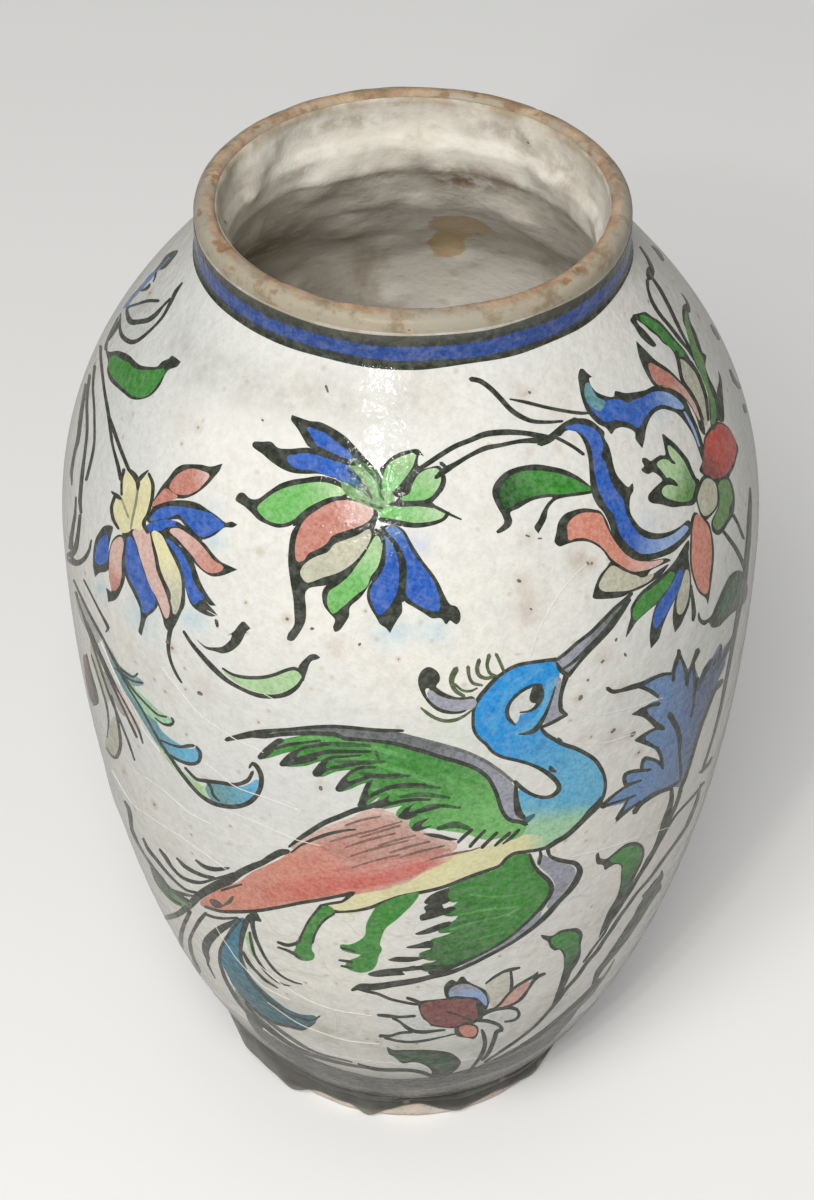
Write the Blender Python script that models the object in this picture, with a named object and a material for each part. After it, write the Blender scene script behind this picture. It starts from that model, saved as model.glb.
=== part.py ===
"""A hand-built ceramic vase: fired clay sections luted together with slip, then coated and glazed.

Units are metres, +Z is up, and the origin is the middle of the foot on the surface it stands on.
Every piece is turned about the vase's own axis from a profile of (radius, height) points.
"""

import math

import bmesh
import bpy
from mathutils import Vector

# Overall form, measured on the finished outer surface
HEIGHT = 0.315
BELLY_RADIUS = 0.1034
BELLY_HEIGHT = 0.205
NECK_RADIUS = 0.0620
NECK_HEIGHT = 0.016
FOOT_RADIUS = 0.0500
FOOT_HEIGHT = 0.0095

# Shape of the two swelling curves: how far each end keeps its direction, as a share of its rise
FOOT_FLARE_ANGLE = math.radians(39.0)
FOOT_FULLNESS = 0.41
LOWER_BELLY_FULLNESS = 0.06
UPPER_BELLY_FULLNESS = 0.556
SHOULDER_FULLNESS = 0.24
SHOULDER_ANGLE = math.radians(33.5)

# Clay sections
WALL = 0.0065
FLOOR = 0.009
FLOOR_FILLET = 0.010
COLLAR_WALL = 0.0038
LIP_HEIGHT = 0.0040
LIP_OVERHANG = 0.0007
FOOT_WIDTH = 0.010
FOOT_EDGE = 0.0012
SEAM_HEIGHT = 0.115

# Slip in the joints, with the bead that was squeezed out on the inner side and wiped flat
SLIP = 0.0008
BEAD_DEPTH = 0.0012
BEAD_HEIGHT = 0.0060
BEAD_FLAT = 0.0024

# Coats
GROUND = 0.0004
GLAZE = 0.0005
LINING = 0.0004
ROLL_DEPTH = 0.0016
ROLL_LOWER_DEPTH = 0.0011
ROLL_ROUNDING = 0.0006
ROLL_BARE_FOOT = 0.0035

# Runs of glaze down the foot: (angle about the axis, half width) in degrees, and drop in metres
GLAZE_RUNS = (
    (252.0, 10.0, 0.0026),
    (212.0, 14.0, 0.0026),
    (184.0, 9.0, 0.0020),
    (112.0, 12.0, 0.0024),
    (42.0, 10.0, 0.0022),
    (322.0, 9.0, 0.0016),
)

# The thin line left between neighbouring pieces
JOINT_GAP = 0.0003

# Facets
SEGMENTS = 40
CURVE_STATIONS = 6
LIP_STATIONS = 6
SHARP_EDGE_ANGLE = math.radians(40.0)
MERGE_DISTANCE = 0.000001

COATS = GLAZE + JOINT_GAP + GROUND + JOINT_GAP
NECK_ROOT = HEIGHT - NECK_HEIGHT
FLOOR_TOP = FOOT_HEIGHT + FLOOR
LIP_BASE = HEIGHT - LIP_HEIGHT
HALF_JOINT = SLIP / 2 + JOINT_GAP
BORE_RADIUS = NECK_RADIUS - COATS - COLLAR_WALL


def swelling_curve(low, low_angle, low_fullness, high, high_angle, high_fullness):
    """Points of a cubic curve from its low end to its high end. End angles are measured from upright."""
    low, high = Vector(low), Vector(high)
    rise = high.y - low.y
    low_handle = low + rise * low_fullness * Vector((math.sin(low_angle), math.cos(low_angle)))
    high_handle = high - rise * high_fullness * Vector((math.sin(high_angle), math.cos(high_angle)))
    points = []
    for step in range(CURVE_STATIONS + 1):
        t = step / CURVE_STATIONS
        s = 1.0 - t
        points.append(s**3 * low + 3 * s * s * t * low_handle + 3 * s * t * t * high_handle + t**3 * high)
    return points


def outer_skin():
    """The finished outside, from the foot up to the underside of the lip."""
    foot = (FOOT_RADIUS + COATS, FOOT_HEIGHT)
    belly = (BELLY_RADIUS, BELLY_HEIGHT)
    neck = (NECK_RADIUS, NECK_ROOT)
    lower = swelling_curve(foot, FOOT_FLARE_ANGLE, FOOT_FULLNESS, belly, 0.0, LOWER_BELLY_FULLNESS)
    upper = swelling_curve(belly, 0.0, UPPER_BELLY_FULLNESS, neck, -SHOULDER_ANGLE, SHOULDER_FULLNESS)
    return lower + upper[1:] + [Vector((NECK_RADIUS, LIP_BASE))]


def inset(line, depth):
    """The line moved to its inner side by depth, with mitred corners. The line runs upwards."""
    normals = []
    for first, second in zip(line, line[1:]):
        along = (second - first).normalized()
        normals.append(Vector((-along.y, along.x)))
    moved = []
    for index, point in enumerate(line):
        before = normals[max(index - 1, 0)]
        after = normals[min(index, len(normals) - 1)]
        mitre = (before + after).normalized()
        moved.append(point + mitre * (depth / mitre.dot(after)))
    return moved


def at_height(line, height):
    """The point of an upward line at a height. Its first and last stretches go on past its ends."""
    index = 0
    while index < len(line) - 2 and line[index + 1].y < height:
        index += 1
    first, second = line[index], line[index + 1]
    return first + (second - first) * ((height - first.y) / (second.y - first.y))


def between(line, bottom, top):
    """The stretch of an upward line between two heights, cut exactly at both."""
    inside = [point.copy() for point in line if bottom < point.y < top]
    return [at_height(line, bottom), *inside, at_height(line, top)]


def height_at_radius(line, radius):
    """The greatest height at which the line is as wide as radius."""
    for first, second in reversed(list(zip(line, line[1:]))):
        if second.x <= radius <= first.x:
            return first.lerp(second, (first.x - radius) / (first.x - second.x)).y
    return line[-1].y


def lip_arc(outer, inner):
    """The rounded top of the lip, from its outer edge over to its inner edge."""
    middle = (outer + inner) / 2
    half_width = (outer - inner) / 2
    rise = min(half_width, LIP_HEIGHT / 2)
    points = []
    for step in range(LIP_STATIONS + 1):
        turn = math.pi * step / LIP_STATIONS
        across = middle + half_width * math.cos(turn)
        points.append(Vector((across, HEIGHT - rise + rise * math.sin(turn))))
    return points


SKIN = outer_skin()
CLAY_OUT = inset(SKIN, COATS)
WALL_IN = inset(SKIN, COATS + WALL)
BORE_BOTTOM = min(height_at_radius(WALL_IN, BORE_RADIUS), NECK_ROOT - HALF_JOINT - BEAD_HEIGHT)


def clay_inside(bottom, top):
    """The inner clay surface between two heights: the curved wall, then the bore in the neck."""
    line = [point for point in WALL_IN if point.y < BORE_BOTTOM]
    line += [Vector((BORE_RADIUS, BORE_BOTTOM)), Vector((BORE_RADIUS, HEIGHT))]
    return between(line, bottom, top)


def finish_for(name, colour, roughness):
    """A plain ceramic finish."""
    finish = bpy.data.materials.new(name)
    finish.use_nodes = True
    shader = finish.node_tree.nodes["Principled BSDF"]
    shader.inputs["Base Color"].default_value = (*colour, 1.0)
    shader.inputs["Roughness"].default_value = roughness
    shader.inputs["Metallic"].default_value = 0.0
    return finish


def turned(name, profile, finish, closed=True):
    """A solid turned from a profile: a closed ring, or an open line whose two ends lie on the axis."""
    mesh = bpy.data.meshes.new(name)
    shape = bmesh.new()
    corners = [shape.verts.new((point.x, 0.0, point.y)) for point in profile]
    edges = [shape.edges.new(pair) for pair in zip(corners, corners[1:])]
    if closed:
        edges.append(shape.edges.new((corners[-1], corners[0])))
    bmesh.ops.spin(
        shape,
        geom=corners + edges,
        cent=(0.0, 0.0, 0.0),
        axis=(0.0, 0.0, 1.0),
        angle=2 * math.pi,
        steps=SEGMENTS,
        use_merge=True,
    )
    bmesh.ops.remove_doubles(shape, verts=shape.verts, dist=MERGE_DISTANCE)
    bmesh.ops.recalc_face_normals(shape, faces=shape.faces)
    shape.to_mesh(mesh)
    shape.free()
    mesh.shade_smooth()
    mesh.set_sharp_from_angle(angle=SHARP_EDGE_ANGLE)
    mesh.materials.append(finish)
    piece = bpy.data.objects.new(name, mesh)
    bpy.context.scene.collection.objects.link(piece)
    return piece


def make_foot_ring(finish):
    """The bare ring that the vase stands on."""
    outer = FOOT_RADIUS
    inner = FOOT_RADIUS - FOOT_WIDTH
    top = FOOT_HEIGHT - 2 * JOINT_GAP - SLIP
    profile = [
        Vector((inner, FOOT_EDGE)),
        Vector((inner + FOOT_EDGE, 0.0)),
        Vector((outer - FOOT_EDGE, 0.0)),
        Vector((outer, FOOT_EDGE)),
        Vector((outer, top)),
        Vector((inner, top)),
    ]
    return turned("foot_ring", profile, finish)


def make_lower_bowl(finish):
    """The lower section, with the floor: a bowl up to the belly seam."""
    top = SEAM_HEIGHT - HALF_JOINT
    inside = clay_inside(FLOOR_TOP + FLOOR_FILLET, top)
    outside = between(CLAY_OUT, FOOT_HEIGHT, top)
    floor_edge = Vector((at_height(WALL_IN, FLOOR_TOP).x - FLOOR_FILLET, FLOOR_TOP))
    floor_middle = Vector((0.0, FLOOR_TOP))
    base_middle = Vector((0.0, FOOT_HEIGHT))
    profile = [floor_middle, floor_edge, *inside, *reversed(outside), base_middle]
    return turned("lower_bowl", profile, finish, closed=False)


def make_upper_bowl(finish):
    """The belly and shoulder: a bottomless bowl set on the lower one, bored out under the neck."""
    bottom = SEAM_HEIGHT + HALF_JOINT
    top = NECK_ROOT - HALF_JOINT
    return turned("upper_bowl", clay_inside(bottom, top) + between(CLAY_OUT, bottom, top)[::-1], finish)


def make_neck_collar(finish):
    """The short upright neck, with a rounded bare lip that stands out over the coats."""
    bottom = NECK_ROOT + HALF_JOINT
    outer = at_height(CLAY_OUT, LIP_BASE).x
    lip_inner = BORE_RADIUS - LIP_OVERHANG
    profile = [
        Vector((BORE_RADIUS, bottom)),
        Vector((outer, bottom)),
        Vector((outer, LIP_BASE)),
        Vector((NECK_RADIUS, LIP_BASE)),
        *lip_arc(NECK_RADIUS, lip_inner),
        Vector((lip_inner, LIP_BASE)),
        Vector((BORE_RADIUS, LIP_BASE)),
    ]
    return turned("neck_collar", profile, finish)


def bead_line(height):
    """The inner face of a bead of slip at a seam, from its lower end up to its upper end."""
    wall = clay_inside(FLOOR_TOP, HEIGHT)
    proud = JOINT_GAP + BEAD_DEPTH
    stations = (
        (-BEAD_HEIGHT / 2, JOINT_GAP),
        (-BEAD_FLAT / 2, proud),
        (BEAD_FLAT / 2, proud),
        (BEAD_HEIGHT / 2, JOINT_GAP),
    )
    return [at_height(wall, height + along) - Vector((depth, 0.0)) for along, depth in stations]


def make_wall_seam_slip(name, height, finish):
    """Slip between two wall sections, squeezed out to a bead on the inside."""
    bottom, top = height - SLIP / 2, height + SLIP / 2
    bead = bead_line(height)
    back = [bead[0], bead[-1]]
    profile = [
        at_height(CLAY_OUT, bottom),
        at_height(CLAY_OUT, top),
        at_height(back, top),
        *reversed(bead),
        at_height(back, bottom),
    ]
    return turned(name, profile, finish)


def make_foot_seam_slip(finish):
    """Slip between the foot ring and the bowl, with a bead in the corner of the hollow foot."""
    top = FOOT_HEIGHT - JOINT_GAP
    bottom = top - SLIP
    inner = FOOT_RADIUS - FOOT_WIDTH
    bead = inner - JOINT_GAP
    profile = [
        Vector((FOOT_RADIUS, top)),
        Vector((bead - BEAD_HEIGHT / 2, top)),
        Vector((bead - BEAD_DEPTH, top - BEAD_DEPTH)),
        Vector((bead, top - BEAD_HEIGHT / 2)),
        Vector((bead, bottom)),
        Vector((FOOT_RADIUS, bottom)),
    ]
    return turned("foot_seam_slip", profile, finish)


def make_outer_coat(name, depth, thickness, finish):
    """A coat over the whole outside, from the foot to the lip, at a depth below the finished surface."""
    top = LIP_BASE - JOINT_GAP
    outside = between(inset(SKIN, depth), FOOT_HEIGHT, top)
    inside = between(inset(SKIN, depth + thickness), FOOT_HEIGHT, top)
    return turned(name, inside + outside[::-1], finish)


def lined_surface():
    """The inside that the lining covers, from the middle of the floor up over both beads to the lip."""
    line = [Vector((0.0, FLOOR_TOP))]
    line.append(Vector((at_height(WALL_IN, FLOOR_TOP).x - FLOOR_FILLET, FLOOR_TOP)))
    bottom = FLOOR_TOP + FLOOR_FILLET
    for seam in (SEAM_HEIGHT, NECK_ROOT):
        bead = bead_line(seam)
        line += clay_inside(bottom, bead[0].y)[:-1] + bead
        bottom = bead[-1].y
    line += [point for point in clay_inside(bottom, LIP_BASE - JOINT_GAP) if point.y > bottom]
    return line


def make_inner_glaze(finish):
    """The thin glaze lining of the inside, in one piece with its floor."""
    surface = lined_surface()
    outside = inset(surface, JOINT_GAP)
    inside = inset(surface, JOINT_GAP + LINING)
    outside[0].x = inside[0].x = 0.0
    return turned("inner_glaze", outside + inside[::-1], finish, closed=False)


def run_drop(angle):
    """How far the glaze has run down the foot at an angle about the axis, in degrees."""
    drop = 0.0
    for centre, half_width, depth in GLAZE_RUNS:
        away = abs((angle - centre + 180.0) % 360.0 - 180.0) / half_width
        if away < 1.0:
            drop = max(drop, depth * (0.5 + 0.5 * math.cos(math.pi * away)))
    return drop


def make_glaze_roll(finish):
    """The thick roll where the glaze gathered round the top of the foot, with runs down it."""
    back = FOOT_RADIUS + JOINT_GAP
    top = FOOT_HEIGHT - JOINT_GAP
    middle = (top + ROLL_BARE_FOOT) / 2
    profile = [
        Vector((back, top)),
        Vector((back, ROLL_BARE_FOOT)),
        Vector((back + ROLL_LOWER_DEPTH, ROLL_BARE_FOOT + ROLL_ROUNDING)),
        Vector((back + ROLL_DEPTH, middle)),
        Vector((at_height(SKIN, FOOT_HEIGHT).x, top)),
    ]
    roll = turned("glaze_roll", profile, finish)
    for corner in roll.data.vertices:
        share = (top - corner.co.z) / (top - ROLL_BARE_FOOT)
        corner.co.z -= share * run_drop(math.degrees(math.atan2(corner.co.y, corner.co.x)))
    return roll


def main():
    for old in list(bpy.data.objects):
        bpy.data.objects.remove(old)
    clay = finish_for("fired_clay", (0.58, 0.42, 0.28), 0.85)
    slip = finish_for("joint_slip", (0.66, 0.54, 0.41), 0.80)
    ground = finish_for("white_slip", (0.78, 0.75, 0.70), 0.60)
    glaze = finish_for("clear_glaze", (0.80, 0.78, 0.74), 0.12)
    lining = finish_for("stained_glaze", (0.55, 0.50, 0.42), 0.35)
    make_foot_ring(clay)
    make_lower_bowl(clay)
    make_upper_bowl(clay)
    make_neck_collar(clay)
    make_foot_seam_slip(slip)
    make_wall_seam_slip("belly_seam_slip", SEAM_HEIGHT, slip)
    make_wall_seam_slip("neck_seam_slip", NECK_ROOT, slip)
    make_outer_coat("white_ground", GLAZE + JOINT_GAP, GROUND, ground)
    make_outer_coat("outer_glaze", 0.0, GLAZE, glaze)
    make_inner_glaze(lining)
    make_glaze_roll(glaze)


main()
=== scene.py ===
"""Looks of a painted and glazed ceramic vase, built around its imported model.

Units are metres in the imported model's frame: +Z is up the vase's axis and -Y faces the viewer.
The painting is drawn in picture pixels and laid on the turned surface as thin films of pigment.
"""

from __future__ import annotations

import logging
import math
from abc import ABC, abstractmethod
from dataclasses import dataclass, field, replace
from enum import Enum, IntEnum

import bmesh
import bpy
import numpy as np
from mathutils import Matrix, Vector, noise
from mathutils.geometry import delaunay_2d_cdt

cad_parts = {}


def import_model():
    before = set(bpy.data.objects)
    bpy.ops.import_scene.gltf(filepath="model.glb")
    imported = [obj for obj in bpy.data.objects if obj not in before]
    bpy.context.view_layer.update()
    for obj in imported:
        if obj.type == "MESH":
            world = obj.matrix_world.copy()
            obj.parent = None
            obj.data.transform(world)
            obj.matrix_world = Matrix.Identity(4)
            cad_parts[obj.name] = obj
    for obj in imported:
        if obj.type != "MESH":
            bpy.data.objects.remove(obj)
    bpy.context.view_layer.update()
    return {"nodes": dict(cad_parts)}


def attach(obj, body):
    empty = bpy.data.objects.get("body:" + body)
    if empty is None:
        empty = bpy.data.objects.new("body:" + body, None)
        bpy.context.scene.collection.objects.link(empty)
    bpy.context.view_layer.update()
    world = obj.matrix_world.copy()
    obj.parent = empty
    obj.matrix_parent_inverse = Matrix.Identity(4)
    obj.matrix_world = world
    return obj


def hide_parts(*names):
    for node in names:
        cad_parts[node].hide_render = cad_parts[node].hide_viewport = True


LOG = logging.getLogger("vase")
BODY = "root"
BOTH_SIDES = (0.0, 180.0)
FOOT_BAND_LIFT = 0.000065
CRAZING_LIFT = 0.00016
MERGE_DISTANCE = 1e-6
SEGMENTS = 256
TINY = 1e-6
SHORTEST = 1e-9
Socket = bpy.types.NodeSocket


class Pigment(Enum):
    """Colours of the painting and of the washes round it, and of painted shade and sheen, as sRGB hex."""

    INK = "30362A"
    BLUE = "3065BA"
    PALE_BLUE = "9DB6DA"
    BAND_BLUE = "1E4A96"
    SLATE = "6F93BE"
    DUSK = "5A6B8E"
    PLUME = "1A7F98"
    # brown staining, also painted shade round the neck root
    STAIN = "A98F74"
    # pale crazing lines, and a painted sheen on the shoulder
    CRACK = "ECEAE2"
    # dark grey of the foot's brush strokes, also painted shade at the foot
    SOOT = "4E4D47"
    PEACOCK = "0096DA"
    SKY = "66B6D6"
    MINT = "A9D3AE"
    TEAL = "699CA0"
    DEEP_TEAL = "2F6B78"
    LEAF_GREEN = "3F9033"
    DEEP_GREEN = "2F5F2B"
    MID_GREEN = "6F9A58"
    LIGHT_GREEN = "79BC69"
    PALE_GREEN = "B4D2A2"
    CORAL = "C68979"
    SALMON = "D5917C"
    RED = "CE5B4F"
    ROSE = "93524F"
    PINK = "D9B9AE"
    CREAM = "C6C4AE"
    BUTTER = "E4DEB2"
    PALE = "D8D9D4"
    LAVENDER = "A2A2AE"
    GREY = "6F7272"
    OLIVE = "525E38"
    PLUM = "5F4A4C"
    UMBER = "8A6A58"
    IRON = "4E3C2E"
    SHADE = "9C9A92"
    # grey wash of the lower body, partly painted shade
    SMOKE = "9A9684"

    def linear(self) -> tuple[float, float, float]:
        """The colour in scene-linear values."""
        return hex_linear(self.value)


class Cover(IntEnum):
    """What lies on a small patch of the glaze."""

    BARE = 0
    COLOUR = 1
    INK = 2


class Touch(Enum):
    """The ways the brush meets the glaze."""

    SHAPE = "filled outline"
    STROKE = "tapered line"


def hex_linear(code: str) -> tuple[float, float, float]:
    """Turn an sRGB hex code into scene-linear values.

    Args:
        code: six hex digits.

    Returns:
        Red, green and blue from 0 to 1.
    """
    shares = [int(code[at : at + 2], 16) / 255 for at in (0, 2, 4)]
    return tuple(share / 12.92 if share <= 0.04045 else ((share + 0.055) / 1.055) ** 2.4 for share in shares)


@dataclass(frozen=True)
class Mark:
    """One touch of the brush in picture pixels: points of x,y, with * at a sharp corner, or of x,y,width."""

    touch: Touch
    pigment: Pigment
    path: str
    fade: Pigment | None = None
    reach: str = ""
    density: float = 1.0
    grow: float = 0.0


def ink(path: str) -> Mark:
    """A dark filled outline."""
    return Mark(Touch.SHAPE, Pigment.INK, path)


def wash(
    pigment: Pigment,
    path: str,
    fade: Pigment | None = None,
    reach: str = "",
    density: float = 1.0,
    grow: float = 0.0,
) -> Mark:
    """A coloured filled outline, which may fade to a second pigment and spread under its lines."""
    return Mark(Touch.SHAPE, pigment, path, fade, reach, density, grow)


def stroke(path: str, pigment: Pigment = Pigment.INK, density: float = 1.0) -> Mark:
    """A tapered brush line."""
    return Mark(Touch.STROKE, pigment, path, None, "", density)


@dataclass(frozen=True)
class Motif:
    """One painted figure: its marks in the order they were painted, and its copies about the axis."""

    name: str
    marks: tuple[Mark, ...]
    turns: tuple[float, ...]
    weight: float
    spread: float


def motif(
    name: str,
    *marks: Mark,
    turns: tuple[float, ...] = (0.0,),
    weight: float = 0.85,
    spread: float = 0.9,
) -> Motif:
    """Gather a figure's marks.

    Args:
        name: the figure's name.
        *marks: its marks in the order they were painted.
        turns: its copies' angles about the axis, in degrees.
        weight: share of their widths that its lines are drawn with.
        spread: pixels by which its washes run out under the lines.

    Returns:
        The figure.
    """
    return Motif(name, marks, turns, weight, spread)


NECK_LEAVES = motif(
    "neck_leaves",
    # narrow grey leaf on the left edge of the shoulder
    ink(
        "178,251 165,268 152,273 140,290 127,306 120,325 109,341 105,345* 108,337 117,319 129,300 143,284"
        " 157,268 168,254"
    ),
    wash(Pigment.SLATE, "170,257 161,268 151,275 139,291 127,304 119,320 118,322 130,302 143,287 157,271"),
    ink("140,291 146,287 150,283 150,287 145,291"),
    stroke("156,272,2 155,277,2 153,282,1"),
    # pale rolled leaf
    wash(
        Pigment.PALE,
        "121,312 120,322 121,332 128,340 136,340 150,329 162,314 170,301 160,302 150,301 140,303 128,308",
    ),
    stroke(
        "182,283,2 176,291,4 171,301,4 162,317,3 150,330,3 138,340,4 130,342,6 122,336,5 120,326,3 121,314,2",
    ),
    stroke(
        "158,301,4 148,301,4 138,304,3 128,308,3 128,316,5 131,322,7 138,322,6 148,320,6 156,314,5 163,306,3"
        " 170,299,3"
    ),
    # green leaf
    ink(
        "106,351 110,352 118,351 128,355 135,362 141,366 156,367 161,362 168,359 171,356 175,358 180,362*"
        " 176,367 168,370 164,375 160,384 155,391 148,397 138,400 130,399 126,396 118,389 110,381 107,371"
        " 108,362"
    ),
    wash(
        Pigment.LEAF_GREEN,
        "111,357 116,357 122,361 128,364 133,369 141,371 155,371 163,370 161,377 156,384 150,392 142,397"
        " 134,396 127,391 119,384 112,375 109,366",
    ),
    # stems
    stroke("107,343,3 106,347,3 106,350,3"),
    stroke("101,346,3 101,360,3 104,390,3 108,415,4 111,440,3 113,450,3 117,465,4 120,480,4"),
    stroke("108,415,3 113,430,4 120,450,4 128,470,4"),
    stroke("95,366,3 93,385,2.5 94,410,2.5 94,440,2.5 92,455,3 86,480,3"),
    stroke("90,375,3 87,400,3 87,430,3 85,450,3 82,475,4 80,500,4 81,513,3"),
    stroke("86,384,2 82,410,4 78,440,4 75,452,3 72,470,3 72,485,1"),
    stroke("76,497,1.5 75,515,3 72,535,4 71,548,5"),
    stroke("80,515,3 78,535,4 75,550,6 70,556,8"),
    stroke("91,540,1.5 89,550,3 84,559,5 77,563,7 70,559,7"),
)

LEFT_FLOWER = motif(
    "left_flower",
    ink("122,532 146,528 168,526 178,545 182,575 176,602 166,606 152,580 140,556 128,542"),
    # coral petal
    ink(
        "149,507 153,500 160,488 168,478 175,469 183,465 200,465 210,467 222,464* 219,471 214,477 208,484"
        " 200,491 192,496 183,499 174,499 166,502 156,508"
    ),
    wash(
        Pigment.CORAL,
        "170,486 175,478 182,473 192,470 203,473 208,476 203,483 196,490 187,494 178,494 171,490",
        Pigment.PINK,
        "192,482 208,476",
    ),
    wash(Pigment.CORAL, "152,506 158,497 165,490 170,493 176,497 170,500 160,503"),
    # blue petal
    ink(
        "146,520 152,508 160,504 172,501 186,501 198,504 207,510 216,516 225,523 231,522 237,525* 232,528"
        " 224,528 215,535 207,539 200,540 192,535 184,526 178,520 165,521 150,524"
    ),
    wash(
        Pigment.BLUE,
        "150,520 156,512 165,508 178,508 190,510 200,512 212,516 223,526 216,530 208,535 200,536 193,530"
        " 185,521 178,514 168,517 158,519",
    ),
    wash(Pigment.BLUE, "147,526 155,523 165,521 176,523 181,527 172,528 160,530 150,531"),
    stroke("176,524,4 184,530,7 192,537,7 200,542,5"),
    stroke("172,538,4 182,545,6 190,553,5"),
    # pink petal
    ink(
        "162,530 172,527 182,529 192,535 200,541 205,545 212,554 220,562 228,566 237,570* 230,573 222,576"
        " 212,577 204,573 197,567 190,559 186,552 178,543 168,535"
    ),
    wash(
        Pigment.PINK,
        "170,531 178,530 188,536 197,543 205,552 212,561 222,568 217,572 208,572 200,566 193,556 186,548"
        " 178,539",
        Pigment.CORAL,
        "176,534 216,570",
    ),
    # narrow blue petal
    ink(
        "160,534 168,537 178,546 187,552 192,560 196,572 201,585 208,597 215,606* 210,606 204,601 213,611"
        " 217,616* 210,617 200,613 192,607 188,600 185,590 182,580 180,568 175,556 168,546"
    ),
    wash(
        Pigment.BLUE,
        "166,540 173,545 180,553 185,561 189,571 192,582 196,590 203,598 198,600 194,604 189,597 186,587"
        " 184,575 180,563 174,551",
    ),
    # cream petal
    ink(
        "150,532 160,534 168,545 176,558 181,572 184,588 184,605 180,614 175,625 170,632 166,630 163,622"
        " 168,612 172,605 170,590 163,578 158,565 154,550"
    ),
    wash(
        Pigment.BUTTER,
        "152,533 160,536 168,552 174,564 179,577 180,592 178,606 174,614 171,605 171,593 165,580 161,570"
        " 158,556",
        Pigment.CREAM,
        "164,552 178,600",
    ),
    # long pink petal
    ink(
        "134,536 145,532 150,540 155,552 157,566 161,577 166,588 170,602 172,612 170,622 165,628 161,615"
        " 155,600 150,590 144,578 140,566 136,552"
    ),
    wash(
        Pigment.PINK,
        "133,533 140,528 147,532 150,546 153,560 155,572 160,584 165,597 168,610 166,618 162,610 157,598"
        " 150,586 146,574 142,562 138,550",
    ),
    # blue petal that hangs down
    ink(
        "126,533 131,533 136,545 140,560 145,576 151,590 156,598 157,606 153,612 146,618 143,628 141,636*"
        " 138,632 140,620 139,608 133,594 127,582 123,570 122,555 124,543"
    ),
    wash(
        Pigment.BLUE,
        "128,538 132,540 136,553 141,569 147,585 153,597 153,606 146,612 143,612 141,602 135,588 129,577"
        " 126,565 126,552",
    ),
    # small pink and small blue petals on the left
    ink(
        "112,540 118,535 124,537 123,550 124,565 124,580 120,592 115,600 108,602* 107,594 106,588 111,592"
        " 110,582 108,568 108,555"
    ),
    wash(
        Pigment.PINK,
        "114,542 120,538 122,545 120,560 120,575 118,585 113,590 110,578 110,562 111,550",
        Pigment.CORAL,
        "116,560 115,588",
    ),
    ink("112,527 104,526 99,532 95,540 93,553 93,566 95,577* 99,573 107,571 109,562 108,550 110,538"),
    wash(Pigment.BLUE, "106,536 101,540 97,548 96,560 100,564 106,560 107,548"),
    # cream cup of the flower
    wash(
        Pigment.BUTTER,
        "113,500 120,502 121,490 124,476 128,474 133,480 136,484 141,477 147,474 151,482 152,495 150,508"
        " 146,518 143,526 138,530 133,525 128,531 122,532 117,527 113,520 112,510",
    ),
    stroke("114,497,4 111,508,4 113,520,4 118,529,3"),
    stroke("111,492,2 116,496,5 120,499,4"),
    stroke("123,470,4 121,482,3 121,495,3"),
    stroke("128,470,4 133,475,6 137,482,6 137,490,3"),
    stroke("147,471,2 141,477,5 138,481,4"),
    stroke("148,474,3 152,485,4 151,500,4 147,515,4 143,524,5 147,533,4"),
    stroke("137,490,3 135,504,3 132,518,3 130,529,2", Pigment.OLIVE, 0.7),
    stroke("121,499,2 124,508,2.5 128,518,2", Pigment.OLIVE, 0.6),
    stroke("170,628,6 168,640,5 168,652,4 171,664,3 176,675,3 181,683,2"),
    turns=BOTH_SIDES,
    spread=1.1,
)

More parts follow.
